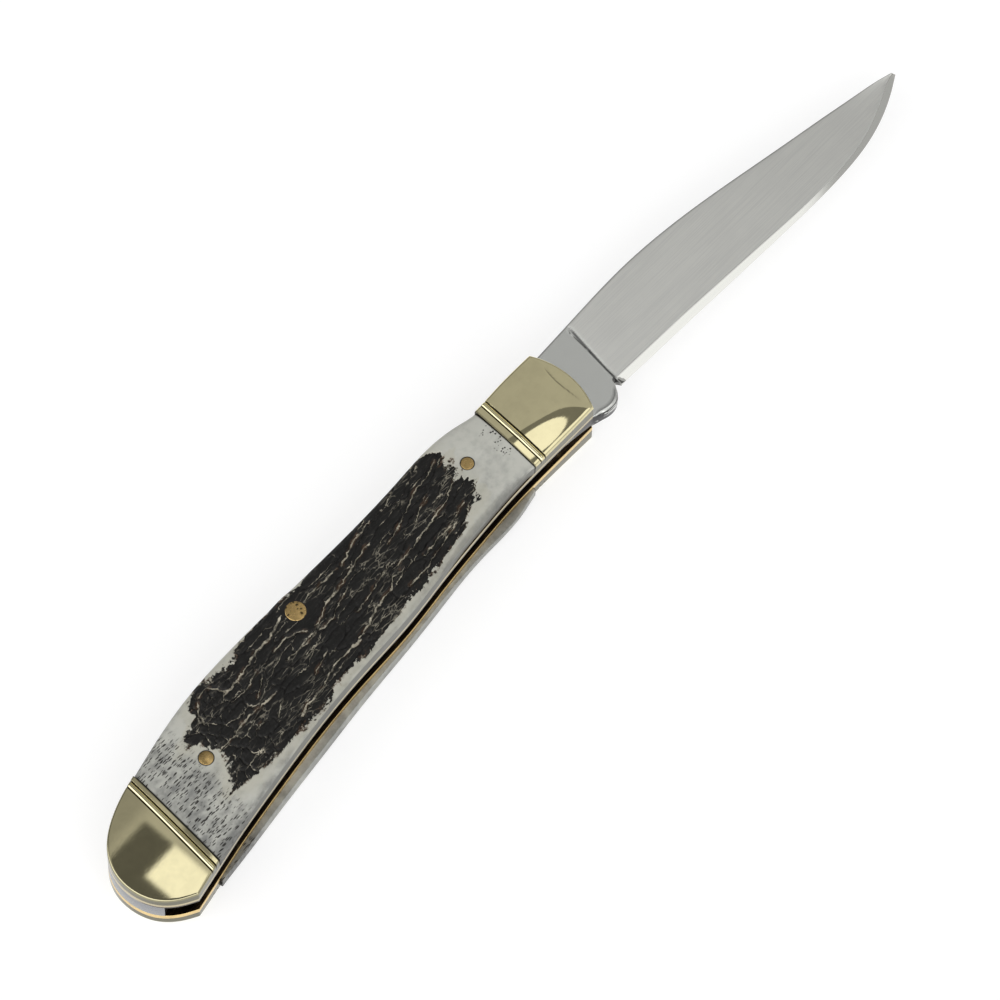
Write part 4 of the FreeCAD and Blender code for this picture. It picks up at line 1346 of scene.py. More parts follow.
def rear_bolster_shell():
    """Rear bolster: leaning stations from the joint to the butt's end, rows between its two outlines. From
    its thickness its top falls by the arch and slope, a round edge, grooves and the joint's ease.
    """
    c = values("knife_covers")
    back, slot = handle_curves()
    outline = np.concatenate([back, slot[1:]])
    lean = np.tan(c.rear_tilt)
    shifted = outline[:, 0] - outline[:, 1] * lean
    end = shifted.argmin()
    upper, lower = outline[: end + 1], outline[end:]
    reach = -c.rear_joint - shifted[end]
    steps = joint_steps(c.rear_groove)
    body = np.linspace(steps[-1], reach - TAIL_REACH, BODY_STATIONS)[1:-1]
    tail = reach - TAIL_REACH * np.cos(np.linspace(0, np.pi / 2, TAIL_STATIONS)) ** 2
    way = np.r_[steps, body, tail]
    centre = -c.rear_joint - way
    y_high = np.interp(-centre, -shifted[: end + 1], upper[:, 1])
    y_low = np.interp(centre, shifted[end:], lower[:, 1])
    widest = (y_high - y_low).max()
    rows = strip_rows(np.array([widest]), rim_steps(c.edge_round, RIM_REACH), REAR_ROWS)[0] / widest
    y = y_low[:, None] + rows * (y_high - y_low)[:, None]
    xy = np.stack([centre[:, None] + y * lean, y], -1)
    d = outline_distance(xy, outline)
    d[:, [0, -1]] = 0
    d[-1] = 0
    g = np.broadcast_to(way[:, None] * np.cos(c.rear_tilt), d.shape)
    z = COVER_THICKNESS - edge_fall(d, c.edge_round, c.edge_rise) - rear_fall(xy[..., 0], xy[..., 1])
    z -= groove_drop(g, c.rear_groove) + eased(g, c.joint_ease)
    marks = bolster_marks(g, c.rear_groove)
    # Painted shade over the rounded rim, dimming its highlight
    marks["wall"] = REAR_RIM_SHADE * smooth(1.1, 0.4, d / c.edge_round)
    return cover_shell(xy, z, marks)


# Distance to the bark's ragged ends as a share of that along X, and how far bark runs over the back's edge
BARK_END_SHARE = 0.7
BARK_OVER_BACK = 0.25


def bark_zone(x, y, y_back):
    """How far inside the bark a point lies: the least distance to its borders."""
    ends = np.minimum(x - by_x(BARK_REAR_BORDER, y), by_x(BARK_FRONT_BORDER, y) - x) * BARK_END_SHARE
    by_back = y_back - by_x(BARK_BACK_BORDER, x) - y + BARK_OVER_BACK
    return np.minimum(ends, np.minimum(y - by_x(BARK_SLOT_BORDER, x), by_back))


def nearest_line(xy, lines):
    """Signed distance from each point to the nearest of some polylines, and half that line's width."""
    best, half_width = np.full(xy.shape[:-1], 99.0), np.zeros(xy.shape[:-1])
    for half, *way in lines:
        points = np.array(way, float)
        step = np.diff(points, axis=0)
        off = xy[..., None, :] - points[:-1]
        t = np.clip((off * step).sum(-1) / (step**2).sum(-1), 0, 1)
        off = off - t[..., None] * step
        far = np.hypot(off[..., 0], off[..., 1])
        side = np.where(step[:, 0] * off[..., 1] < step[:, 1] * off[..., 0], -1, 1)
        signed = np.take_along_axis(far * side, far.argmin(-1)[..., None], -1)[..., 0]
        closer = np.abs(signed) < np.abs(best)
        best = np.where(closer, signed, best)
        half_width = np.where(closer, half, half_width)
    return best, half_width


def stag_noise(name, x, y, seed):
    """One of the stag's noises at these places, times its strength."""
    long, wide, step, count, strength = STAG_NOISE[name]
    return strength * layers(x / long, y / wide, seed + step, count)


# X about which the bark's grain rises, and places along X at which plates are counted off
GRAIN_MIDDLE = -45
PLATE_PLACES = np.linspace(-90, 0, 181)
# A long fissure's opening as a share of its width: its middle, least and most
OPENING_MIDDLE, OPENING_LEAST, OPENING_MOST = 0.7, 0.2, 1.3
# Half width of an open seam, what it gains at the rear, and the share of it that a crosswise seam has
SEAM_HALF, SEAM_REAR_HALF, SEAM_CROSSWISE = 0.045, 0.015, 0.3
# Width of the sides of fissures and seams, and a seam's depth as a share of a fissure's
FISSURE_SIDE, SEAM_SIDE, SEAM_DEPTH = 0.30, 0.2, 0.55
# How far plates lie below the crown, and how much their heights differ, as shares of their relief
PLATE_DROP, PLATE_STEP = 0.35, 0.4


def stag_relief(x, y, y_back, seed):
    """Depth of the stag's surface and its attributes: plates of bark from stretched scattered cells, parted
    by seams, and long open fissures along listed lines. Distances to both go to the material, signed, so that
    they stay exact between points.
    """
    k = values("knife_stag")
    grain = y - k.grain_slope * (x - GRAIN_MIDDLE)
    across = grain + stag_noise("sway", x, grain, seed) + stag_noise("ripple", x, grain, seed)
    along = x + stag_noise("slip", x, across, seed)
    spacing = PLATE_PLACES[1] - PLATE_PLACES[0]
    long, wide = by_x(PLATE_LENGTHS, along), k.plate_width
    passed = np.interp(along, PLATE_PLACES, np.cumsum(spacing / by_x(PLATE_LENGTHS, PLATE_PLACES)))
    gap, side, lengthwise, plate, seed_x, seed_y = cells(passed, across / wide, long, wide, seed + 6)
    lobes = 0.5 * bark_zone(x, y, y_back) + 0.5 * bark_zone(x + seed_x, y + seed_y, y_back)
    inside = lobes + stag_noise("border", x, across, seed)
    bark = smooth(-0.15, 0.15, inside)
    wavy_x = x + stag_noise("wave_x", x, y, seed)
    wavy_y = y + stag_noise("wave_y", x, y, seed)
    line, half = nearest_line(np.stack([wavy_x, wavy_y], -1), FISSURES)
    opening = OPENING_MIDDLE + stag_noise("opening", x, y, seed)
    half = k.fissure_share * half * np.clip(opening, OPENING_LEAST, OPENING_MOST)
    rear = smooth(*REAR_BARK_IN, x)
    open_share = smooth(-0.1, 0.6, stag_noise("seams", x, across, seed) + 0.25 * (plate - 0.5))
    runs = SEAM_CROSSWISE + (1 - SEAM_CROSSWISE) * np.maximum(lengthwise**2, rear)
    seam = (SEAM_HALF * open_share + SEAM_REAR_HALF * rear) * runs
    fissure_valley = 1 - smooth(half, half + FISSURE_SIDE, np.abs(line))
    seam_valley = SEAM_DEPTH * (1 - smooth(seam, seam + SEAM_SIDE, gap))
    lumps, strands = stag_noise("lumps", x, across, seed), stag_noise("strands", x, across, seed)
    uneven = PLATE_DROP - lumps - strands + PLATE_STEP * (plate - 0.5)
    depth = k.fissure_depth * np.maximum(fissure_valley, seam_valley) + k.plate_relief * uneven
    stain = stag_noise("stain", x, across, seed) + 0.4 * smooth(*FRONT_STAIN_IN, x)
    marks = {
        "inside": inside,
        "fissure": line,
        "fissure_near": np.abs(line),
        "fissure_half": half,
        "seam": gap * side,
        "seam_near": gap,
        "seam_half": seam,
        "seam_pale": smooth(0.2, 0.75, open_share + 0.35 * rear),
        "stain": smooth(0.0, 0.6, stain),
    }
    return bark * np.clip(depth, 0, None), marks


# Stations and rows of a scale's grid, and the least share of its bevel
SCALE_STATIONS, SCALE_ROWS = 680, 98
BEVEL_LEAST = 0.05
# How far round a pin the scale is level with its head and how far it is drawn down to it
SEAT_FLAT, SEAT_REACH = 0.15, 2.6
# Share of painted shade on the lower scale's wall, which the light reaches
LOWER_WALL_SHADE = 0.1


def scale_shell(seed, belly):
    """A scale: stations between its leaning joints, rows from slot to back. From its thickness its top falls
    by round edges, a dome, the bolsters' falls, a bevel and the stag's relief. It is level round its pins.
    """
    c = values("knife_covers")
    back, slot = handle_curves(c.swell, belly)
    upper = back[: back[:, 0].argmin()]
    first, last = -c.rear_joint + c.joint_gap, -c.front_joint - c.joint_gap
    ease = c.joint_ease * (1 - np.cos(np.linspace(0, np.pi / 2, 6)))
    between = np.linspace(first + c.joint_ease, last - c.joint_ease, SCALE_STATIONS)[1:-1]
    centre = np.r_[first + ease, between, last - ease[::-1]]
    way = (centre - first) / (last - first)
    tilt = c.rear_tilt + (c.front_tilt - c.rear_tilt) * way
    low, high = crossing(slot, centre, tilt), crossing(upper, centre, tilt)
    span = np.linalg.norm(high - low, axis=1)
    set_back = 0 if belly else c.set_back * smooth(*SET_BACK_IN, centre) * smooth(*SET_BACK_OUT, centre)
    low = low + (set_back / span)[:, None] * (high - low)
    span = span - set_back
    xy, to_slot, to_back = strip(low, high, span, rim_steps(c.scale_crease, RIM_REACH), SCALE_ROWS)
    x, y = xy[..., 0], xy[..., 1]
    z = COVER_THICKNESS - edge_fall(to_back, c.scale_round, c.scale_rise)
    z -= dome_fall(to_back, c.scale_dome, c.scale_reach)
    z -= eased(to_slot, c.scale_crease)
    z -= front_fall(np.full(x.shape, -c.front_joint), y) * smooth(*FRONT_FALL_IN, x)
    z -= c.rear_arch * (y + c.rear_crest) ** 2 / 2 * smooth(*REAR_ARCH_IN, x)
    bevelled = smooth(*BEVEL_IN, x) * smooth(*BEVEL_OUT, x)
    bevel = c.bevel_width * np.maximum(bevelled, BEVEL_LEAST)
    z -= c.bevel_rise * bevelled * np.clip(1 - to_slot / bevel, 0, 1)
    g = np.minimum(centre - first, last - centre)[:, None]
    relief, marks = stag_relief(x, y, high[:, 1:], seed)
    z -= relief * smooth(0.0, 0.5, np.minimum(to_slot, to_back)) + eased(g, c.joint_ease)
    for node in SEEN_PINS:
        place, radius = place_of(node)
        far = np.hypot(x - place[0], y - place[1])
        z += (COVER_THICKNESS - c.pin_seat - z) * (1 - smooth(radius + SEAT_FLAT, radius + SEAT_REACH, far))
    rear, front = smooth(*REAR_BONE_IN, x), smooth(*FRONT_BONE_IN, x)
    marks["pores"] = smooth(*PORES_IN, x) * (0.7 + 0.3 * smooth(-10, 4, y))
    marks["dots"] = 0.9 * front * smooth(-2.5, 0.5, y) * smooth(5.5, 4.0, y)
    mottle = stag_noise("mottle", x, y, seed) * smooth(*MOTTLE_IN, x)
    # Painted shade: the bone greys along the slot edge; the rest of the grey is the bone's own tone
    shade_by_slot = smooth(1.4, 0.3, to_slot)
    marks["grey"] = np.clip(0.18 + 0.32 * rear + 0.35 * shade_by_slot - 0.15 * front + mottle, 0, 1)
    # Painted shade on the upper scale's bevel, darker towards the slot edge
    shade = smooth(1.08, 0.92, to_slot / bevel) * smooth(BEVEL_LEAST, 0.3, bevelled)
    marks["wall"] = (0.55 - 0.35 * to_slot / bevel) * shade * (belly == 0)
    marks["grime"] = np.broadcast_to(0.95 * (1 - smooth(0.05, 0.2, g)), x.shape)
    return cover_shell(xy, z, marks, LOWER_WALL_SHADE if belly else 1.0)


def liner_outline():
    """Closed outline of a liner: the splines of back, butt and slot side, and the nose's arc."""
    h = values("knife_handle")
    back, slot = handle_curves()
    y = np.linspace(-h.slot_depth, h.back_height, 60)[1:-1]
    nose = np.stack([nose_arc(y), y], -1)
    return np.concatenate([back, slot[1:], nose])


# Radius that the spring's boss leaves for its pin
BOSS_BORE = 1.2


def spring_outline():
    """Closed outline of the backspring: the handle's back and butt, its end, inner edge, boss and head."""
    h = values("knife_handle")
    back, _ = handle_curves()
    span = h.nose_reach + h.butt_reach
    (pin_x, pin_y), _ = place_of("spring_pin")
    boss = h.boss_wall + BOSS_BORE
    end = np.array([h.nose_reach - SPRING_END_SHARES[0] * span, -SPRING_END_SHARES[1] * h.butt_drop])
    outer = back[: np.linalg.norm(back - end, axis=1).argmin()]
    inner = [(-h.spring_head, h.spring_seat)]
    inner += [(h.nose_reach - s * span, y * h.back_height) for s, y in SPRING_INNER_SHARES]
    edge = spline(inner, 500)
    over = np.abs(edge[:, 0] - pin_x) < boss
    bowl = pin_y - np.sqrt(np.clip(boss**2 - (edge[:, 0] - pin_x) ** 2, 0, None))
    edge[:, 1] = np.where(over, np.minimum(edge[:, 1], bowl), edge[:, 1])
    head_y = np.linspace(h.spring_seat, h.back_height, 12)
    head = np.stack([np.minimum(nose_arc(head_y), h.spring_front), head_y], -1)
    return np.concatenate([outer, [end], edge[::-1], head[:-1]])


# Stations of the blade's stretches: tang's rounds and flats, kick, choil, drop to the heel, stop, ground part
ROUND_STATIONS, FLAT_STATIONS = 24, 20
KICK_STATIONS, CHOIL_STATIONS, DROP_STATIONS = 60, 16, 10
STOP_STATIONS = 14
GROUND_STATIONS = 260
# Kick between its lowest point and its top: shares of its length and of its drop
KICK_SHARES = ((0.44, 0.945), (0.76, 0.8))
# Top of the kick and a point in the choil, as shares of the choil's height
KICK_TOP_SHARE, CHOIL_SHARE = 1.38, 1.1


def arc(radius, angles):
    """Points on a circle round the pivot."""
    return radius * np.stack([np.cos(angles), np.sin(angles)], -1)


def blade_lines():
    """The blade's back and belly station by station, with the bevel's width and the spine's thickness."""
    b = values("knife_blade")
    rows = np.array(BLADE_SHARES)
    half_flat = math.sqrt(b.cam_radius**2 - b.cam_flat**2)
    turned = b.travel - math.pi
    way = np.array([math.cos(turned), math.sin(turned)])
    foot = np.array([math.sin(turned), -math.cos(turned)]) * b.cam_flat
    closed_rear, closed_front = foot - way * half_flat, foot + way * b.stop_reach
    plunge = b.plunge_reach - b.choil_height * math.tan(b.plunge_tilt)
    kick_front = plunge - b.choil_width
    span = kick_front - b.kick_reach
    kick_top = (kick_front, -KICK_TOP_SHARE * b.choil_height)
    kick = [
        closed_front,
        ((closed_front[0] + b.kick_reach) / 2, -KICK_SHARES[0][1] * b.kick_drop),
        (b.kick_reach, -b.kick_drop),
    ]
    kick += [(b.kick_reach + along * span, -down * b.kick_drop) for along, down in KICK_SHARES]
    kick = spline([*kick, kick_top], KICK_STATIONS)
    choil_top = (kick_front + 0.35 * b.choil_width, -CHOIL_SHARE * b.choil_height)
    choil = spline([kick_top, choil_top, (plunge, -b.choil_height)], CHOIL_STATIONS)
    heel = np.array([rows[0, 2] * b.reach, -rows[0, 3] * b.edge_drop])
    drop = np.linspace(choil[-1], heel, DROP_STATIONS)
    turn_up = np.pi - np.linspace(0, np.pi - np.arctan2(b.cam_flat, -half_flat), ROUND_STATIONS)
    round_up = arc(b.cam_radius, turn_up)
    turn_end = 2 * np.pi + np.arctan2(closed_rear[1], closed_rear[0])
    round_down = arc(b.cam_radius, np.linspace(np.pi, turn_end, ROUND_STATIONS))
    spine = spline(np.stack([rows[:, 0] * b.reach, rows[:, 1] * b.spine_height], -1), GROUND_STATIONS)
    edge = spline(np.stack([rows[:, 2] * b.reach, -rows[:, 3] * b.edge_drop], -1), GROUND_STATIONS)
    stop_low, stop_top = np.array([b.stop_reach, b.cam_flat]), np.array([b.stop_reach, b.stop_height])
    flat_up = np.linspace(round_up[-1], stop_low, FLAT_STATIONS)
    flat_down = np.linspace(closed_rear, closed_front, FLAT_STATIONS)
    riser = np.linspace(stop_low, stop_top, STOP_STATIONS)
    below = KICK_STATIONS + CHOIL_STATIONS + DROP_STATIONS
    shoulder = np.linspace(stop_top, spine[0], below - STOP_STATIONS)
    back = np.concatenate([round_up, flat_up[1:], riser[1:], shoulder[1:], spine])
    belly = np.concatenate([round_down, flat_down[1:], kick[1:], choil[1:], drop, edge])
    ground = np.linspace(0, 1, GROUND_STATIONS)
    known = (rows[:, 0] - rows[0, 0]) / (rows[-1, 0] - rows[0, 0])
    count = len(back) - GROUND_STATIONS
    bevel = np.r_[np.full(count, 0.0), np.interp(ground, known, rows[:, 5]) * b.bevel_width]
    bevel[count - DROP_STATIONS : count] = b.bevel_width * np.linspace(0.1, 1.0, DROP_STATIONS)
    taper = np.r_[np.full(count, 1.0), np.interp(ground, known, rows[:, 4])] * b.thickness
    return back, belly[: len(back)], bevel, taper


# Rows of the blade's face: over the bevel as shares of it, by the back as shares of the ease, and counts
# over the flank, the nail nick's band and above it
BEVEL_ROWS = (0.0, 0.02, 0.06, 0.13, 0.23, 0.36, 0.5, 0.66, 0.83, 0.96, 1.0, 1.04, 1.15)
BACK_ROWS = (1.0, 0.6, 0.3, 0.1, 0.0)
MIDDLE_ROWS, NICK_ROWS, UPPER_ROWS = 24, 20, 8
# Band of close rows for the nail nick: its two borders below the back, and the most as shares of the face
NICK_FOOT, NICK_TOP = (3.4, 0.45), (1.7, 0.25)
# Most of the face's width that an ease and the bevel may take
EASE_MOST, BEVEL_MOST = 0.2, 0.7
# X where the kick's rounded edge begins and ends
KICK_IN, KICK_OUT = (6.2, 8.0), (12.7, 11.6)
# Half widths of the painted dark lines along the bevel and the kick
BEVEL_LINE, KICK_LINE = 0.05, 0.14
# Keeps divisions by a width that vanishes at the tip or the tang's end away from zero
TINY = 1e-6


def blade_shell():
    """The blade: each station's face from belly to back. Half its thickness grows straight over the bevel and
    then to the spine, follows a circle in the plunge and is level on the tang, less eased edges and nick.
    """
    b = values("knife_blade")
    back, belly, bevel, taper = blade_lines()
    span = np.linalg.norm(back - belly, axis=1)
    small = np.minimum(b.ease, EASE_MOST * span)
    kicked = smooth(*KICK_IN, belly[:, 0]) * smooth(*KICK_OUT, belly[:, 0]) * (bevel == 0)
    kick_ease = np.minimum(b.ease + (b.kick_round - b.ease) * kicked, EASE_MOST * span)
    ground_bevel = bevel
    bevel = np.minimum(np.maximum(bevel, kick_ease), BEVEL_MOST * span)
    low = bevel[:, None] * np.array(BEVEL_ROWS)
    high = span[:, None] - small[:, None] * np.array(BACK_ROWS)
    nick_low = np.minimum(NICK_FOOT[0], NICK_FOOT[1] * span)[:, None]
    nick_high = np.minimum(NICK_TOP[0], NICK_TOP[1] * span)[:, None]
    nick = span[:, None] - nick_low + (nick_low - nick_high) * np.linspace(0, 1, NICK_ROWS)
    middle = low[:, -1:] + (nick[:, :1] - low[:, -1:]) * np.linspace(0, 1, MIDDLE_ROWS)[1:-1]
    upper = nick[:, -1:] + (high[:, :1] - nick[:, -1:]) * np.linspace(0, 1, UPPER_ROWS)[1:-1]
    rows = np.concatenate([low, middle, nick, upper, high], axis=1)
    share_up = rows / np.maximum(span, TINY)[:, None]
    xy = belly[:, None] + share_up[..., None] * (back - belly)[:, None]
    x, y = xy[..., 0], xy[..., 1]
    tang = b.thickness / 2
    shoulder, edge = b.shoulder_thickness / 2, b.edge_thickness / 2
    rise = np.clip((rows - bevel[:, None]) / np.maximum(span - bevel, TINY)[:, None], 0, 1)
    flank = shoulder + (taper[:, None] / 2 - shoulder) * rise
    bevel_face = edge + (shoulder - edge) * rows / np.maximum(bevel, TINY)[:, None]
    ground = np.where(rows < bevel[:, None], bevel_face, flank)
    depth = tang - b.shoulder_thickness / 4
    ground_share = np.clip((tang - ground) / (tang - shoulder), 0, 1)
    run = math.sqrt(2 * b.plunge_radius * depth - depth**2)
    past = x - (b.plunge_reach + y * math.tan(b.plunge_tilt))
    cove = tang - depth + b.plunge_radius - np.sqrt(b.plunge_radius**2 - np.clip(past - run, -run, 0) ** 2)
    half = np.where(past <= 0, tang, np.maximum(ground, np.where(past < run, cove, 0)))
    from_back = span[:, None] - rows
    half -= eased(from_back, b.ease) * np.minimum(1, half / 0.3)
    half -= eased(np.where(past <= 0, rows, 9.0), np.maximum(kick_ease, TINY)[:, None])
    half = np.maximum(half, edge * np.minimum(1, span / 0.1)[:, None])
    flat_zone = np.where(past > 0, smooth(0.0, run, past) * (rows > 1.02 * bevel[:, None]), 0.0)
    wheel = ((b.nick_length / 2) ** 2 + b.nick_depth**2) / (2 * b.nick_depth)
    nick_top = b.spine_height - b.nick_below_spine
    below = nick_top - y
    cut = b.nick_depth - (x - b.nick_reach) ** 2 / (2 * wheel) - below * math.tan(b.nick_lean)
    cut = np.where((below > -0.02) & (below < b.nick_width), np.maximum(cut, 0), 0)
    on_edge = np.where(past > 0, ground_bevel[:, None], 0) > 0
    line = np.exp(-(((rows - bevel[:, None]) / np.where(on_edge, BEVEL_LINE, KICK_LINE)) ** 2))
    line = line * np.where(on_edge, 0.8 * smooth(70.0, 40.0, x), kicked[:, None])
    # Masks for painted shade: dark lines along the spine, the bevel's border and the kick, and streaks under
    # the kick
    marks = {
        "flank": flat_zone,
        "bevel": on_edge * (rows < 1.02 * bevel[:, None]),
        "plunge": ground_share,
        "rim": np.maximum(smooth(0.16, 0.03, from_back), line),
        "under": np.where(past <= 0, smooth(0.5, 0.15, rows / np.maximum(bevel, TINY)[:, None]), 0),
    }
    shell = Shell()
    top = shell.add(np.stack([x, y, MID_Z + half], -1), marks)
    low_face = shell.add(np.stack([x, y, MID_Z - half + cut], -1), marks)
    shell.tube(np.concatenate([top, low_face[:, ::-1]], axis=1))
    shell.cap(np.concatenate([top[-1], low_face[-1, ::-1]]))
    return shell


def pin_profile(radius, low, high, dome, ease):
    """Half profile of a pin from pole to pole: ends domed by a parabola, rims eased by a quarter circle."""
    t = np.linspace(0, 1, 9)
    end_r = (radius - ease) * t
    end_z = dome * (1 - t**2)
    q = np.linspace(0, np.pi / 2, 5)[1:]
    rim_r, rim_z = radius - ease + ease * np.sin(q), -ease * (1 - np.cos(q))
    top = np.stack([np.r_[end_r, rim_r], np.r_[end_z, rim_z]], -1)[::-1]
    bottom = top[::-1] * (1, -1)
    return np.concatenate([bottom + (0, low), top + (0, high)])


# Step of the seed from one scale to the other
SEED_STEP = 100
# Pins: how far heads stand out of the scales' seats, how far flush ends lie below the polished bolsters,
# and the ease of their rims
PIN_PROUD = 0.03
RIVET_SUNK, THROUGH_SUNK = 0.7, 0.6
PIN_EASE, RIVET_EASE = 0.08, 0.05


class KNIFE_OT_blade(Operator):
    """Make the blade with its tang, ricasso, grind and nail nick"""

    bl_idname = "knife.blade"
    bl_label = "Blade"
    bl_options = {"REGISTER", "UNDO"}

    def execute(self, context):
        steel = shared_material("satin_steel")
        add_piece("clip_blade", blade_shell(), steel, "blade", ["blade"], BLADE_SHARP)
        return {"FINISHED"}


class KNIFE_OT_spring(Operator):
    """Make the backspring between the liners"""

    bl_idname = "knife.spring"
    bl_label = "Backspring"
    bl_options = {"REGISTER", "UNDO"}

    def execute(self, context):
        h = values("knife_handle")
        shell = plate_shell(spring_outline(), SPRING_LOW[2], SPRING_HIGH[2], h.edge_ease)
        steel = shared_material("oiled_steel")
        add_piece("back_spring", shell, steel, "handle", ["backspring"])
        return {"FINISHED"}


class KNIFE_OT_liners(Operator):
    """Make the two brass liners"""

    bl_idname = "knife.liners"
    bl_label = "Liners"
    bl_options = {"REGISTER", "UNDO"}

    def execute(self, context):
        h, brass = values("knife_handle"), shared_material("brass_sheet")
        for side in SIDES:
            shell = plate_shell(liner_outline(), LINER_LOW[2], LINER_HIGH[2], h.edge_ease)
            name, nodes = "brass_liner_" + side, [side + "_liner"]
            add_piece(name, shell, brass, "handle", nodes, mirrored=side == LOWER)
        return {"FINISHED"}


class KNIFE_OT_bolsters(Operator):
    """Make the two front and the two rear bolsters with their grooves"""

    bl_idname = "knife.bolsters"
    bl_label = "Bolsters"
    bl_options = {"REGISTER", "UNDO"}

    def execute(self, context):
        nickel = shared_material("polished_nickel")
        for end, maker in (("front", front_bolster_shell), ("rear", rear_bolster_shell)):
            for side in SIDES:
                name, nodes = f"{end}_bolster_{side}", [f"{side}_{end}_bolster"]
                add_piece(name, maker(), nickel, "handle", nodes, mirrored=side == LOWER)
        return {"FINISHED"}


class KNIFE_OT_scales(Operator):
    """Make the two stag scales, each with bark of its own"""

    bl_idname = "knife.scales"
    bl_label = "Scales"
    bl_options = {"REGISTER", "UNDO"}

    def execute(self, context):
        seed, belly = values("knife_stag").seed, values("knife_covers").belly
        stag = shared_material("antler")
        for number, side in enumerate(SIDES):
            name, nodes = "stag_scale_" + side, [side + "_scale"]
            shell = scale_shell(seed + SEED_STEP * number, belly * number)
            add_piece(name, shell, stag, "handle", nodes, STAG_SHARP, mirrored=side == LOWER)
        return {"FINISHED"}


class KNIFE_OT_pins(Operator):
    """Make the pins and rivets"""

    bl_idname = "knife.pins"
    bl_label = "Pins"
    bl_options = {"REGISTER", "UNDO"}

    def execute(self, context):
        brass, nickel = shared_material("brass_rod"), shared_material("polished_nickel")
        seat = values("knife_covers").pin_seat
        scale_top = COVER_HIGH[2] - seat + PIN_PROUD
        rivet_top = COVER_HIGH[2] - RIVET_SUNK
        for side in SIDES:
            for name, material, slot, top, dome, ease in (
                ("front_scale_pin", brass, "pin_brass", scale_top, 0.02, PIN_EASE),
                ("rear_scale_pin", brass, "pin_brass", scale_top, 0.17, PIN_EASE),
                ("front_bolster_rivet", nickel, "nickel_silver", rivet_top, 0.0, RIVET_EASE),
                ("rear_bolster_rivet", nickel, "nickel_silver", rivet_top, 0.0, RIVET_EASE),
            ):
                node = f"{side}_{name}"
                place, radius = place_of(node)
                shell = turned_shell(place, pin_profile(radius, LINER_LOW[2], top, dome, ease))
                add_piece(f"{name}_{side}", shell, material, "handle", [node], mirrored=side == LOWER)
        for node, name, material, slot, sunk, dome, ease, spots in (
            ("pivot_pin", "pivot", nickel, "nickel_silver", THROUGH_SUNK, 0.0, RIVET_EASE, 0.0),
            ("rear_pin", "rear_through_pin", nickel, "nickel_silver", THROUGH_SUNK, 0.0, RIVET_EASE, 0.0),
            ("spring_pin", "spring_rivet", brass, "pin_brass", seat - 2 * PIN_PROUD, 0.05, 0.12, 1.0),
        ):
            place, radius = place_of(node)
            low, high = node_box(node)
            profile = pin_profile(radius, low[2] + sunk, high[2] - sunk, dome, ease)
            add_piece(name, turned_shell(place, profile, spots), material, "handle", [node])
        return {"FINISHED"}


class KNIFE_OT_stage(Operator):
    """Make the floor, the light and the camera"""

    bl_idname = "knife.stage"
    bl_label = "Stage"
    bl_options = {"REGISTER", "UNDO"}

    def execute(self, context):
        make_floor()
        make_world()
        place_camera()
        return {"FINISHED"}


# How far the floor lies below the knife
FLOOR_GAP = 0.1


def make_floor():
    """A pale floor under the knife, lifted to white where it is seen, which keeps the knife's shadow."""
    look = values("knife_stage")
    side = look.floor_side * MM / 2
    mesh = bpy.data.meshes.new("floor")
    corners = ((-side, -side), (side, -side), (side, side), (-side, side))
    mesh.from_pydata([(x, y, CAD_BOX[0].z - FLOOR_GAP * MM) for x, y in corners], [], [(0, 1, 2, 3)])
    material, tree, shader = new_material("pale_floor", Roughness=0.9)
    shader.inputs["Base Color"].default_value = rgba(look.floor)
    path = put(tree, "ShaderNodeLightPath").outputs
    mirrored = most(tree, path["Is Glossy Ray"], path["Is Transmission Ray"])
    seen = most(tree, path["Is Camera Ray"], mirrored)
    glow = put(tree, "ShaderNodeEmission", {"Strength": times(tree, seen, look.floor_lift)})
    both = put(tree, "ShaderNodeAddShader", {0: shader.outputs[0], 1: glow.outputs[0]})
    tree.links.new(both.outputs[0], tree.nodes["Material Output"].inputs["Surface"])
    mesh.materials.append(material)
    floor = bpy.data.objects.new("floor", mesh)
    bpy.context.scene.collection.objects.link(floor)


def view_axes():
    """The camera's right, up and forward directions in the knife's frame, before its roll."""
    s = values("knife_stage")
    ct, st = math.cos(s.camera_tilt), math.sin(s.camera_tilt)
    ch, sh = math.cos(s.camera_heading), math.sin(s.camera_heading)
    return Vector((ch, -sh, 0)), Vector((ct * sh, ct * ch, st)), Vector((st * sh, st * ch, -ct))


# Oblongs of directions in the light tent: middle in X and Y, half size, softness, level's name, factor
TENT_PATCHES = (
    (-0.75, 0.0, 0.33, 0.95, 0.03, "key", 1.0),
    (-0.2, -0.8, 0.22, 0.3, 0.03, "key", 1.0),
    (0.2, 0.45, 0.6, 0.15, 0.02, "tent_high", 0.65),
    (0.084, -0.15, 0.039, 0.37, 0.006, "panel", 1.0),
    (0.2975, -0.2, 0.1025, 0.356, 0.006, "panel", 1.0),
    (-0.139, 0.253, 0.261, 0.035, 0.006, "flag", 1.0),
    (-0.18, -0.1, 0.225, 0.38, 0.006, "flag", 1.0),
    (0.2975, 0.192, 0.1025, 0.036, 0.006, "flag", 1.7),
    (0.2, 0.85, 0.6, 0.22, 0.03, "flag", 1.0),
    (0.93, 0.1, 0.2, 0.7, 0.04, "flag", 1.0),
)


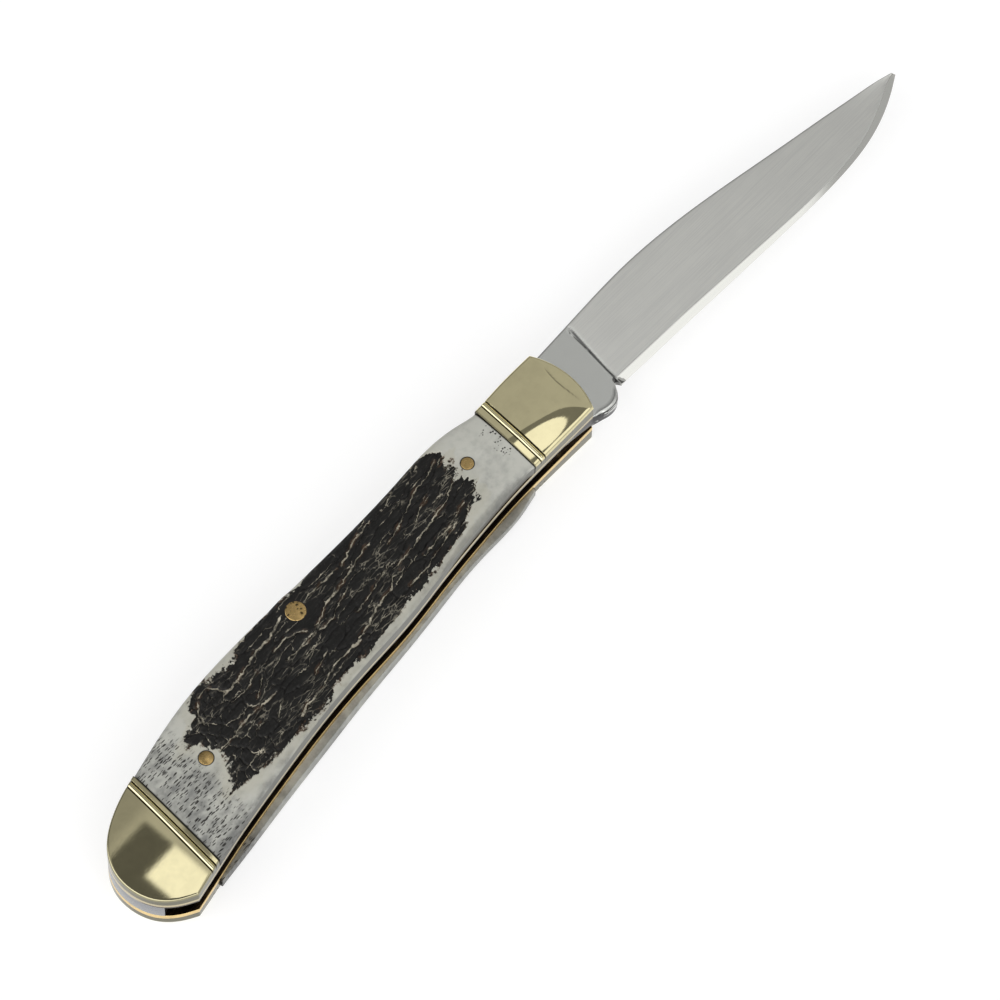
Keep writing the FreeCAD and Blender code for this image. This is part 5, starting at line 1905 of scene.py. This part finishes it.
def make_world():
    """A light tent: bright walls, a greyer roof, softboxes, dark flags and bright panels."""
    s = values("knife_stage")
    world = bpy.data.worlds.new("light_tent")
    world.use_nodes = True
    tree = world.node_tree
    way = put(tree, "ShaderNodeTexCoord").outputs["Generated"]
    parts = put(tree, "ShaderNodeSeparateXYZ", {0: way}).outputs
    level = ramp(tree, parts["Z"], 0.3, 0.8, s.tent_low, s.tent_high)
    above = ramp(tree, parts["Z"], 0.15, 0.25)
    for x, y, half_x, half_y, softness, name, factor in TENT_PATCHES:
        inside = above
        for axis, middle, reach in (("X", x, half_x), ("Y", y, half_y)):
            off = size_of(tree, minus(tree, parts[axis], middle))
            inside = times(tree, inside, ramp(tree, off, reach + softness, reach - softness))
        inputs = {0: inside, 2: level, 3: factor * getattr(s, name)}
        level = put(tree, "ShaderNodeMix", inputs, data_type="FLOAT").outputs[0]
    tree.links.new(level, tree.nodes["Background"].inputs["Strength"])
    tree.nodes["Background"].inputs["Color"].default_value = (1, 1, 1, 1)
    bpy.context.scene.world = world


def place_camera():
    """Sets the camera so that the top of the pivot falls on its pixel of the picture."""
    s = values("knife_stage")
    right, up, ahead = view_axes()
    cr, sr = math.cos(s.camera_roll), math.sin(s.camera_roll)
    focal = s.lens / SENSOR_WIDTH * IMAGE_SIDE
    dx, dy = (p - IMAGE_SIDE / 2 for p in s.pivot_pixel)
    level_x, level_y = cr * dx + sr * dy, -sr * dx + cr * dy
    ray = ahead + right * (level_x / focal) - up * (level_y / focal)
    pivot_top = Vector((0, 0, COVER_HIGH[2] * MM))
    camera = bpy.data.objects.new("camera", bpy.data.cameras.new("camera"))
    camera.data.lens = s.lens
    camera.data.sensor_width = SENSOR_WIDTH
    camera.data.clip_start = CLIP_START
    turned_right, turned_up = right * cr + up * sr, up * cr - right * sr
    place = pivot_top - ray * (s.camera_distance * MM)
    camera.matrix_world = Matrix.LocRotScale(
        place, Matrix((turned_right, turned_up, -ahead)).transposed().to_quaternion(), None
    )
    bpy.context.scene.collection.objects.link(camera)
    bpy.context.scene.camera = camera
    bpy.context.scene.view_settings.view_transform = "Standard"


class KNIFE_PT_panel(Panel):
    """The knife's operators and sizes in the sidebar"""

    bl_label = "Pocket Knife"
    bl_idname = "KNIFE_PT_panel"
    bl_space_type = "VIEW_3D"
    bl_region_type = "UI"
    bl_category = "Knife"

    def draw(self, context):
        for operator in OPERATORS:
            self.layout.operator(operator.bl_idname)
        for group in GROUPS:
            box = self.layout.box()
            settings = getattr(context.scene, group)
            for key in own_properties(settings):
                box.prop(settings, key)


OPERATORS = (
    KNIFE_OT_stage,
    KNIFE_OT_blade,
    KNIFE_OT_spring,
    KNIFE_OT_liners,
    KNIFE_OT_bolsters,
    KNIFE_OT_scales,
    KNIFE_OT_pins,
)


def register():
    """Registers the groups, operators and panel."""
    for name, group in GROUPS.items():
        bpy.utils.register_class(group)
        setattr(bpy.types.Scene, name, PointerProperty(type=group))
    for cls in (*OPERATORS, KNIFE_PT_panel):
        bpy.utils.register_class(cls)


def unregister():
    """Takes the panel, operators and groups away again."""
    for cls in (KNIFE_PT_panel, *reversed(OPERATORS)):
        bpy.utils.unregister_class(cls)
    for name, group in GROUPS.items():
        delattr(bpy.types.Scene, name)
        bpy.utils.unregister_class(group)


def main():
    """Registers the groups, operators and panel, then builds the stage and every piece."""
    register()
    bpy.ops.knife.stage()
    bpy.ops.knife.blade()
    bpy.ops.knife.spring()
    bpy.ops.knife.liners()
    bpy.ops.knife.bolsters()
    bpy.ops.knife.scales()
    bpy.ops.knife.pins()


if __name__ == "__main__":
    main()
